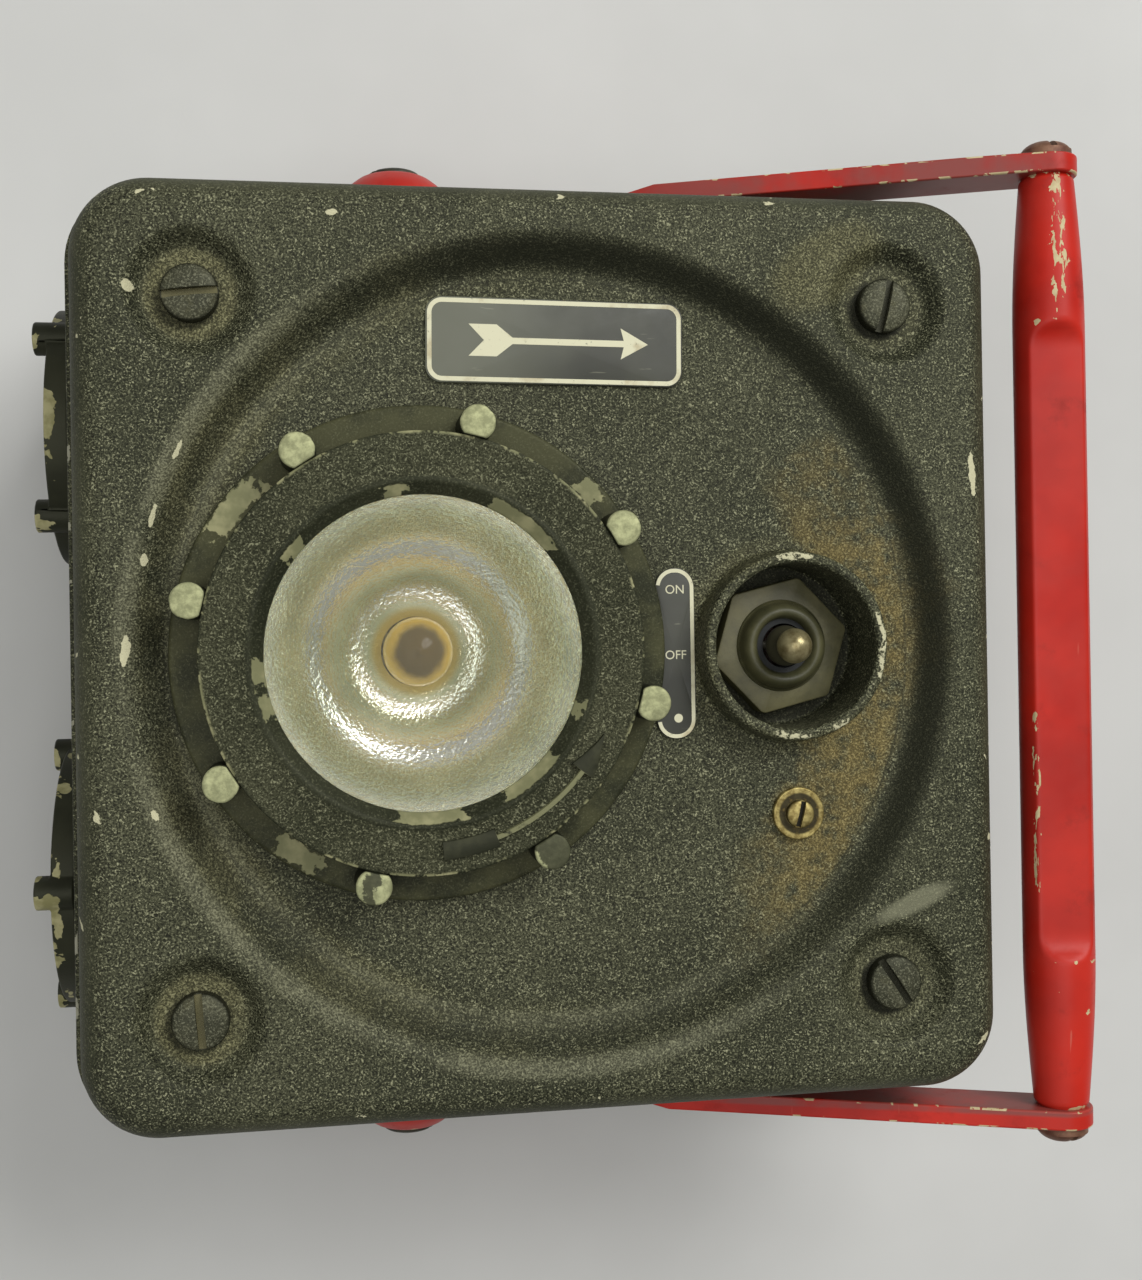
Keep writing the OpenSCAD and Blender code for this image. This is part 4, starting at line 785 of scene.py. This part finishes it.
def dustyArm(y):  # all of the upper strap, but of the lower one only the inner side
    return 0.12 + 0.88 * most(step(y, -0.01, 0.01), band(y, -0.0779, -0.05, 0.0006))


def handleRed(p):
    x, y = axes(p)[:2]
    return redPaint(p, chips(p, 0.08, 420), dustyArm(y) * (0.35 + 0.6 * step(x, 0.005, 0.04)), (138, 70, 64))


def handleEdge(p):  # the straps' edges, rubbed most towards the grip
    x, y = axes(p)[:2]
    return redPaint(p, chips(p, 0.5 + step(x, 0.02, 0.07) * 0.3, 300), dustyArm(y) * 0.75, (138, 74, 66))


def domeRed(p):
    y = axes(p)[1]
    return redPaint(p, chips(p, step(p.math("ABSOLUTE", y), 0.0838, 0.0856) * 0.75, 420))


def gripRed(p):
    x, y, z = axes(p)
    far = p.math("ABSOLUTE", y)
    ragged = noise(p, 260, 4, 0.6)
    joint = step(far + (ragged - 0.5) * 0.003, 0.0758, 0.0772) * 0.85
    streak = band(y, 0.0555, 0.0780, 0.006) * band(x + (ragged - 0.5) * 0.003, 0.0836, 0.0858, 0.0010)
    corner = band(y, -0.0400, -0.0130, 0.004) * band(x + (ragged - 0.5) * 0.001, 0.0799, 0.0805, 0.0005)
    streak = most(streak * step(z, 0.069, 0.071), corner * step(z, 0.0706, 0.0714))
    rims = worn(p) * step(z, 0.0715, 0.0730) * 0.75
    drawn = stretched(p, (1, 0.3, 1))
    spread = most(joint, rims, band(far, 0.055, 0.070, 0.006) * 0.3)
    return redPaint(p, most(chips(drawn, streak * 0.8, 950), chips(p, spread, 420)))


def buildGrip():
    h = handle
    tilt, lean = math.radians(h["tilt"]), math.radians(h["flatTurn"])
    pivotX, pivotZ = h["pivot"]
    arm = (h["side"] + h["gripOut"] - pivotX) / math.cos(tilt)
    along = np.array([math.cos(tilt), 0, math.sin(tilt)])
    square = np.array([-math.sin(tilt), 0, math.cos(tilt)])
    centre = np.array([pivotX, 0, pivotZ]) + along * arm
    facing = square * math.cos(lean) + along * math.sin(lean)
    aside = along * math.cos(lean) - square * math.sin(lean)
    # a round bar that swells from both ends, cut by a flat that runs out in arcs; a soft minimum joins them
    half = h["half"]
    y = np.r_[np.linspace(-half, -half + 0.8, 4), np.linspace(-half + 1.4, half - 1.4, 230),
              np.linspace(half - 0.8, half, 4)]
    full = np.sin(np.clip((half - np.abs(y)) / h["swell"], 0, 1) * math.pi / 2)
    bar = h["endRadius"] + (h["radius"] - h["endRadius"]) * full
    bar = bar - 0.45 * ease(1 - (half - np.abs(y)) / 0.8)
    past = np.clip(np.abs(y) - h["flat"] / 2, 0, h["scoop"] * 0.999)
    level = h["flatAt"] + h["scoop"] - np.sqrt(h["scoop"] ** 2 - past ** 2)
    turn = circle(144)
    reach = np.minimum(level[:, None] / np.maximum(np.cos(turn), 0.05), 30)
    soft = 0.12
    radius = -soft * np.log(np.exp(-bar[:, None] / soft) + np.exp(-reach / soft))
    spine = centre + y[:, None, None] * np.array([0, 1, 0])
    rows = spine + (radius * np.cos(turn))[..., None] * facing + (radius * np.sin(turn))[..., None] * aside
    lip = np.exp(-((np.abs(y) - h["flat"] / 2 - 4.2) / 0.8) ** 2)
    Shape().grid(capped(rows, spine[[0, -1]]), False, np.r_[0, lip, 0]).piece(
        "gripBar", paint(gripRed), "handle", "handle_red", ("grip",), 50)
    # the arms' pivot bosses are low domes about the pivot axis, and the screws sit on them
    domes, pivots, ends = Shape(), Shape(), Shape()
    for side in (-1, 1):
        dome = spun(rounded(boss, 1.2, 5), 96)
        domes.grid(np.stack([pivotX + dome[..., 0], side * dome[..., 2], pivotZ + side * dome[..., 1]], -1))
        slottedHead(pivots, np.array([pivotX, side * pivotScrew["at"], pivotZ]), (0, side, 0), pivotScrew)
        slottedHead(ends, centre + np.array([0, side * gripScrew["at"], 0]), (0, side, 0), gripScrew)
    domes.piece("pivotDomes", paint(domeRed), "handle", "handle_red", (), 40)
    dark = paint(metalPaint((36, 36, 28), (74, 72, 56), 0.4, 0.4), "darkHeads")
    pivots.piece("pivotHeads", dark, "housing", "dark_steel", ("pivot_screws",), 40)
    rusty = paint(metalPaint((92, 54, 40), (140, 104, 80), 0.42, 0.4), "rustHeads")
    ends.piece("gripHeads", rusty, "handle", "rusty_steel", ("grip_screws",), 40)


# name plates, with plain signs only
arrowPlate = {"x": 1.2, "y": 48.3, "lean": -0.8, "length": 40.8, "height": 13.4, "corner": 2.6, "low": 70.52,
              "thick": 0.58, "border": (0.25, 0.95),
              "sign": [(-13.7, 2.5), (-9.3, 2.5), (-6.8, 0.5), (10.9, 0.5), (10.4, 2.45), (14.8, 0),
                       (10.4, -2.45), (10.9, -0.5), (-6.8, -0.5), (-9.3, -2.5), (-13.7, -2.5), (-11.3, 0)]}
switchPlate = {"x": 19.7, "y": -0.9, "length": 27.2, "width": 6.4, "corner": 3.1, "low": 70.52, "thick": 0.58,
               "ringGap": 37.4, "border": (0.15, 0.75), "words": {"ON": 9.2, "OFF": -1.2}, "size": 2,
               "dot": {"y": -11.2, "aside": 0.3, "radius": 0.7}}
# how far signs reach into and over their plate, and the letters' half thickness and depth
ink = {"deep": 0.1, "proud": 0.03, "letter": 0.05, "sunk": 0.02}
printing = ("housing", "plate_black", (), 30)  # body, slot, replaced nodes and sharp angle


def plateBlack(p):
    wear = noise(p, 260, 5, 0.7)
    x = axes(p)[0]
    colour = mix(step(noise(p, 60, 3), 0.35, 0.7), (46, 47, 37), (64, 65, 52))
    # painted sheen: the plate is paler towards its left
    colour = mix((1 - step(x, -0.014, 0.010)) * 0.7, colour, (112, 114, 96))
    streak = stretched(p, (160, 1100, 300), (0, 0, 0.9))
    colour = mix(step(noise(streak, 1, 3), 0.68, 0.74) * 0.5, colour, (128, 128, 108))
    colour = mix(step(wear, 0.66, 0.74) * 0.5, colour, (104, 92, 66))
    return coat(colour, 0.36 + 0.25 * wear, wear, (0.04, 0.3))


def printCream(p):
    wear = noise(p, 900, 4, 0.7)
    brown = step(noise(p, 180, 4, 0.6), 0.5, 0.68)
    colour = mix(brown * 0.5, (214, 211, 178), (150, 124, 74))
    colour = mix(step(wear, 0.62, 0.7) * 0.6, colour, (90, 88, 76))
    return coat(colour, 0.5 + 0.2 * wear, wear, (0.03, 0.3))


def plateOutline(length, height, corner, inset=0, count=25):  # a rectangle with round corners
    arc = np.radians(np.linspace(0, 90, count)[None] + 90 * np.arange(4)[:, None])
    sides = np.array([(1, 1), (-1, 1), (-1, -1), (1, -1)])
    corner, half = corner - inset, np.array([length / 2, height / 2]) - inset
    middle = sides * (half - corner)
    return (middle[:, None] + corner * np.stack([np.cos(arc), np.sin(arc)], -1)).reshape(-1, 2)


def leaned(outline, plate):  # turned a little and moved to the plate's place
    c, s = math.cos(math.radians(plate.get("lean", 0))), math.sin(math.radians(plate.get("lean", 0)))
    return np.asarray(outline) @ np.array([[c, s], [-s, c]]) + (plate["x"], plate["y"])


def slab(name, outline, low, high, material):  # a thin plate with a soft upper edge
    middle = outline.mean(0)
    levels = np.array([(0, low), (1, low), (1, high - 0.14), (0.988, high - 0.04), (0.975, high), (0, high)])
    flat = middle + (outline - middle)[None] * levels[:, :1, None]
    rows = np.concatenate([flat, np.broadcast_to(levels[:, 1:, None], flat.shape[:2] + (1,))], -1)
    Shape().grid(rows).piece(name, material[0], "housing", "plate_black", material[1], 40)


def printed(name, outline, high, cream):  # a flat sign a little proud of its plate
    count = len(outline)
    lower = np.arange(count)
    points = np.r_[np.c_[outline, np.full(count, high - ink["deep"])],
                   np.c_[outline, np.full(count, high + ink["proud"])]]
    after = (lower + 1) % count
    faces = [lower[None, ::-1], lower[None] + count, np.c_[lower, after, after + count, lower + count]]
    Shape().add(points, faces).piece(name, cream, *printing)


def letters(word, x, y, high, size, cream):
    curve = bpy.data.curves.new(word + "Print", "FONT")
    curve.body, curve.size, curve.extrude = word, size * mm, ink["letter"] * mm
    curve.align_x, curve.align_y = "CENTER", "CENTER"
    curve.resolution_u = 4
    holder = bpy.data.objects.new(word + "Holder", curve)
    mesh = bpy.data.meshes.new_from_object(holder)
    bpy.data.objects.remove(holder)
    mesh.transform(Matrix.Translation((x * mm, y * mm, (high - ink["sunk"]) * mm)))
    mesh.materials.clear()
    settle(mesh, word.lower() + "Print", cream, *printing, weld=0.0005)


def borderLines(loops, high):  # up the outer loop and down the inner one
    low, high = high - ink["deep"], high + ink["proud"]
    outer, inner = loops
    return [np.c_[line, np.full(len(line), z)]
            for line, z in ((outer, low), (outer, high), (inner, high), (inner, low))]


def buildPlates(black):
    cream = paint(printCream)
    a, s = arrowPlate, switchPlate
    high = a["low"] + a["thick"]
    outline = leaned(plateOutline(a["length"], a["height"], a["corner"]), a)
    slab("arrowPlate", outline, a["low"], high, (black, ("arrow_plate",)))
    loops = [leaned(plateOutline(a["length"], a["height"], a["corner"], inset), a) for inset in a["border"]]
    Shape().grid(np.array(borderLines(loops, high)), True).piece("arrowBorder", cream, *printing)
    printed("plainArrow", leaned(a["sign"], a), high, cream)
    high = s["low"] + s["thick"]

    def clipped(inset):  # the plate's left side follows the ring's flange
        line = leaned(plateOutline(s["width"], s["length"], s["corner"], inset), s)
        line[:, 0] = np.maximum(line[:, 0], neck["x"] + np.sqrt(s["ringGap"] ** 2 - line[:, 1] ** 2))
        return line
    slab("switchPlate", clipped(0), s["low"], high, (black, ("switch_plate",)))
    # the border is an open band over the top, right side and foot, a closed box in section
    loops = [np.roll(clipped(inset), -50, 0)[2:-2] for inset in s["border"]]
    rows = np.stack(borderLines(loops, high), 1)
    Shape().grid(capped(rows, rows[[0, -1]].mean(1))).piece("switchBorder", cream, *printing)
    for word, y in s["words"].items():
        letters(word, s["x"], y, high, s["size"], cream)
    turn, dot = circle(32), s["dot"]
    middle = np.array([s["x"] + dot["aside"], dot["y"]])
    printed("thirdDot", middle + dot["radius"] * np.c_[np.cos(turn), np.sin(turn)], high, cream)


# case, caps, screws and the pieces inside
def caseEnamel(p):
    ridges = wrinkle(p)
    grime = step(noise(p, 55, 5, 0.65), 0.5, 0.72)
    colour = mix(grime * 0.35, enamel(p, ridges), (92, 87, 66))
    bare = chips(p, 0.12)
    colour = mix(bare * 0.85, colour, (168, 164, 140))
    return coat(colour, 0.48 + 0.2 * noise(p, 70, 3), ridges - bare * 0.5, (0.2, 0.7), dullGloss)


def caseEdge(p):
    ridges = wrinkle(p)
    bare = chips(p, 0.55, 190)
    colour = mix(bare, enamel(p, ridges), (160, 158, 138))
    return coat(colour, 0.46 + 0.2 * noise(p, 70, 3), ridges - bare * 0.5, (0.16, 0.6), dullGloss)


capAxis = (0.038, 0.030)  # distance of the caps' axes from the middle and from the rear face, in metres


def capEnamel(p):  # smoother black, flaked to khaki metal on the rim and the pegs' ends
    x, y, z = axes(p)
    patch = noise(p, 45, 4, 0.6)
    colour = mix(step(patch, 0.35, 0.7), (30, 32, 23), (52, 53, 39))
    outward = 0 - x
    mirrored = p.make("CombineXYZ", {}, {0: p.math("ABSOLUTE", y) - capAxis[0], 1: z - capAxis[1], 2: 0})
    reach = p.make("VectorMath", {"operation": "LENGTH"}, {0: mirrored}, "Value")
    rim = step(reach, 0.0212, 0.0219) * step(outward, 0.0755, 0.0785) * 0.8
    bare = chips(p, most(rim, step(outward, 0.0797, 0.0812) * 0.9), 170)
    colour = mix(bare, colour, mix(step(noise(p, 420, 3), 0.35, 0.65), (140, 136, 92), (178, 172, 128)))
    return coat(colour, 0.42 + 0.2 * patch, wrinkle(p) * 0.4 - bare * 0.7, (0.14, 0.6), dullGloss)


coverScrew = {"turns": (6, 77, 94.5, -57), "radius": 4.3, "height": 2.75, "skirt": 1.8, "slot": 0.6,
              "floor": 1.35, "shank": (2.4, 20)}


def screwEnamel(p):  # grained, with dust that lies in the slots on the left
    x, z = axes(p)[::2]
    ridges = wrinkle(p)
    dusty = step(noise(p, 380, 4, 0.65), 0.5, 0.72)
    colour = mix(step(noise(p, 160, 4), 0.35, 0.7), (50, 51, 38), (76, 76, 59))
    # painted shade in the grain's furrows and painted highlights on its ridges
    colour = mix((1 - step(ridges, 0.36, 0.5)) * 0.55, colour, (22, 23, 16))
    colour = mix(step(ridges, 0.52, 0.66) * 0.5, colour, (136, 136, 112))
    reach = screwReach(p)
    east = step(x, -0.01, 0.01)
    colour = mix(dusty * 0.2, colour, (112, 108, 76))
    # painted shade on the heads' sides
    colour = mix(step(reach, 0.0038, 0.0043) * 0.85, colour, (18, 19, 13))
    # slots: dust on the left, painted shade on the right
    low = (1 - step(z, 0.0734, 0.0739)) * (1 - step(reach, 0.0040, 0.0042))
    colour = mix(low * 0.85, colour, mix(east, (106, 101, 70), (30, 30, 21)))
    return coat(colour, 0.5 + 0.2 * dusty, ridges, (0.1, 0.5), dullGloss)


def buildCoverScrews(enamelled):
    heads, at = Shape(), pocket["at"]
    for (i, j), turn in zip(pocket["corners"], coverScrew["turns"]):
        place = np.array([at * i, at * j, cover["face"] - pocket["depth"]])
        slottedHead(heads, place, (0, 0, 1), {**coverScrew, "turn": turn})
    heads.piece("coverHeads", enamelled, "housing", "screw_steel", ("cover_screws",), 40)


def metalPaint(dark, light, rough, metallic, scale=300, relief=0.06):
    def recipe(p):
        patch = noise(p, scale, 4, 0.65)
        colour = mix(step(patch, 0.3, 0.72), dark, light)
        return coat(colour, rough + 0.22 * noise(p, scale * 0.4, 3), noise(p, scale * 4, 3), (relief, 0.35),
                    {"Metallic": metallic})
    return recipe


def softPaint(dark, light, rough, scale=400, relief=0.08, gloss=0.35):
    def recipe(p):
        patch = noise(p, scale * 0.3, 4, 0.6)
        colour = mix(step(patch, 0.3, 0.72), dark, light)
        return coat(colour, rough + 0.15 * noise(p, scale, 3), noise(p, scale * 3, 3), (relief, 0.4),
                    {"Specular IOR Level": gloss})
    return recipe


def brassPaint(p):
    patch = noise(p, 700, 4, 0.65)
    colour = mix(step(patch, 0.35, 0.7), (112, 96, 50), (186, 170, 108))
    spotReach = oval(p, *smallScrew["place"][:2])
    grime = band(spotReach, 0.0024, 0.0031, 0.0004) * step(patch, 0.25, 0.45)
    z = axes(p)[2]
    # painted shade darkens the slot; grime darkens a ring round the head
    slot = (1 - step(spotReach, 0.0020, 0.0021)) * (1 - step(z, 0.0720, 0.0722))
    colour = mix(most(grime * 0.9, slot), colour, (30, 27, 17))
    return coat(colour, 0.34 + 0.25 * patch, patch, (0.06, 0.4), {"Metallic": 0.7})


def cardPaint(p):
    fibre = stretched(p, (200, 1400, 1400))
    strands = noise(fibre, 1, 4, 0.7)
    colour = mix(step(strands, 0.3, 0.7), (128, 106, 74), (160, 138, 102))
    return coat(colour, 0.8 + 0.1 * strands, strands, (0.08, 0.4))


finish = {
    "cast_enamel": paint(caseEnamel, "castEnamel"),
    "handle_red": paint(handleRed), "screw_steel": paint(screwEnamel),
    "dark_steel": paint(metalPaint((40, 39, 30), (72, 69, 54), 0.4, 0.4), "darkSteel"),
    "rusty_steel": paint(metalPaint((74, 46, 34), (126, 94, 74), 0.5, 0.4), "rustySteel"),
    "spring_steel": paint(metalPaint((118, 118, 112), (168, 168, 160), 0.3, 0.85), "springSteel"),
    "brass_metal": paint(brassPaint, "brassMetal"),
    "seal_rubber": paint(softPaint((22, 24, 24), (40, 42, 40), 0.62), "sealRubber"),
    "boot_rubber": paint(softPaint((56, 56, 36), (86, 84, 56), 0.38), "bootRubber"),
    "plate_black": paint(plateBlack),
    "moulded_brown": paint(softPaint((58, 36, 24), (92, 60, 40), 0.35), "mouldedBrown"),
    "moulded_black": paint(softPaint((24, 24, 24), (44, 44, 42), 0.38), "mouldedBlack"),
    "lever_metal": paint(metalPaint((92, 84, 58), (140, 130, 98), 0.24, 0.6), "leverMetal"),
    "sleeve_card": paint(cardPaint, "sleeveCard"),
    "cell_jacket": paint(softPaint((36, 52, 34), (58, 76, 52), 0.4), "cellJacket"),
    "lead_cover": paint(softPaint((120, 30, 24), (150, 44, 36), 0.45), "leadCover"),
}

buildCover()
finish["ring_enamel"] = buildRing()
buildOptics()
for slotName, material in (("lens_clear", "lensClear"), ("bulb_glass", "bulbGlass"),
                           ("bowl_silver", "bowlSilver")):
    finish[slotName] = bpy.data.materials[material]
buildSwitch(finish["boot_rubber"], finish["brass_metal"])
buildSpring(finish["spring_steel"])
buildGrip()
buildCoverScrews(finish["screw_steel"])
buildPlates(finish["plate_black"])
print("stage: new pieces")

for row in frame["record"]["subparts"]:
    nodes[row["node"]].data.materials.clear()
    nodes[row["node"]].data.materials.append(finish[row["material_slot"]])

# the bushing and pin are dark and dull: painted shade in the boot's mouth
for name, slotName in (("switch_bushing", "seal_rubber"), ("switch_pin", "dark_steel")):
    nodes[name].data.materials[0] = finish[slotName]
edgeFinish = {"cast_enamel": paint(caseEdge), "handle_red": paint(handleEdge)}
softEdges = {"case_shell": 0.5, "upper_cap": 0.35, "lower_cap": 0.35, "upper_arm": 0.35, "lower_arm": 0.35,
             "impact_ferrule": 0.3}
slots = {row["node"]: row["material_slot"] for row in frame["record"]["subparts"]}
capPaint = paint(capEnamel)
for name, width in softEdges.items():
    slotName = slots[name]
    pair = [finish[slotName]] + ([edgeFinish[slotName]] if slotName in edgeFinish else [])
    dressed(name, [capPaint] if "_cap" in name else pair, slotName, width)
print("stage: dressed nodes")

# plain pale floor, soft light from the far side, and the photograph's camera
# each lamp: place in metres, side, watts
studio = {"floor": 3, "floorTones": ((200, 200, 196), (206, 206, 202)), "world": 0.2, "aim": (0, 0, 0.05),
          "lamps": {"keyLight": ((0.62, 0.72, 1.08), 0.7, 13.6), "fillLight": ((-0.9, -0.3, 1), 1, 1.5),
                    "panelLight": ((-0.2, 0, 1.7), 1.2, 10.5)}}
scene = bpy.context.scene
sheet = bpy.data.meshes.new("floorSheet")
corners = np.array([(-1, -1, 0), (1, -1, 0), (1, 1, 0), (-1, 1, 0)], float)
sheet.from_pydata(corners * studio["floor"], [], [(0, 1, 2, 3)])
ground = bpy.data.objects.new("floorSheet", sheet)
scene.collection.objects.link(ground)
sheet.materials.append(paint(softPaint(*studio["floorTones"], 0.85, 40, 0.05, 0.05), "paleFloor"))

world = bpy.data.worlds.new("studio")
scene.world = world
world.use_nodes = True
sky = world.node_tree.nodes["Background"].inputs
sky["Color"].default_value, sky["Strength"].default_value = (1, 1, 1, 1), studio["world"]
for name, (place, size, power) in studio["lamps"].items():
    lamp = bpy.data.lights.new(name, "AREA")
    lamp.energy, lamp.size = power, size
    holder = bpy.data.objects.new(name, lamp)
    holder.location = place
    holder.rotation_euler = (-Vector(place) + Vector(studio["aim"])).to_track_quat("-Z", "Y").to_euler()
    scene.collection.objects.link(holder)

view = {"place": (-35.668, 3.244, 303.627), "focal": 1500.7, "middle": (568.55, 625.41),
        "image": (1142, 1280),
        "turn": ((0.98665, -0.01629, 0.16202), (0.01568, 0.99986, 0.00502), (-0.16208, -0.00242, 0.98677))}
lensData = bpy.data.cameras.new("photoCamera")
longSide = max(view["image"])
lensData.sensor_width = 36
lensData.lens = view["focal"] * lensData.sensor_width / longSide
lensData.shift_x = (view["image"][0] / 2 - view["middle"][0]) / longSide
lensData.shift_y = (view["middle"][1] - view["image"][1] / 2) / longSide
lensData.clip_start, lensData.clip_end = 0.01, 20
eye = bpy.data.objects.new("photoCamera", lensData)
eye.matrix_world = Matrix.Translation(Vector(view["place"]) * mm) @ Matrix(view["turn"]).transposed().to_4x4()
scene.collection.objects.link(eye)
scene.camera = eye
scene.view_settings.view_transform = "Standard"
print("stage: light and camera")
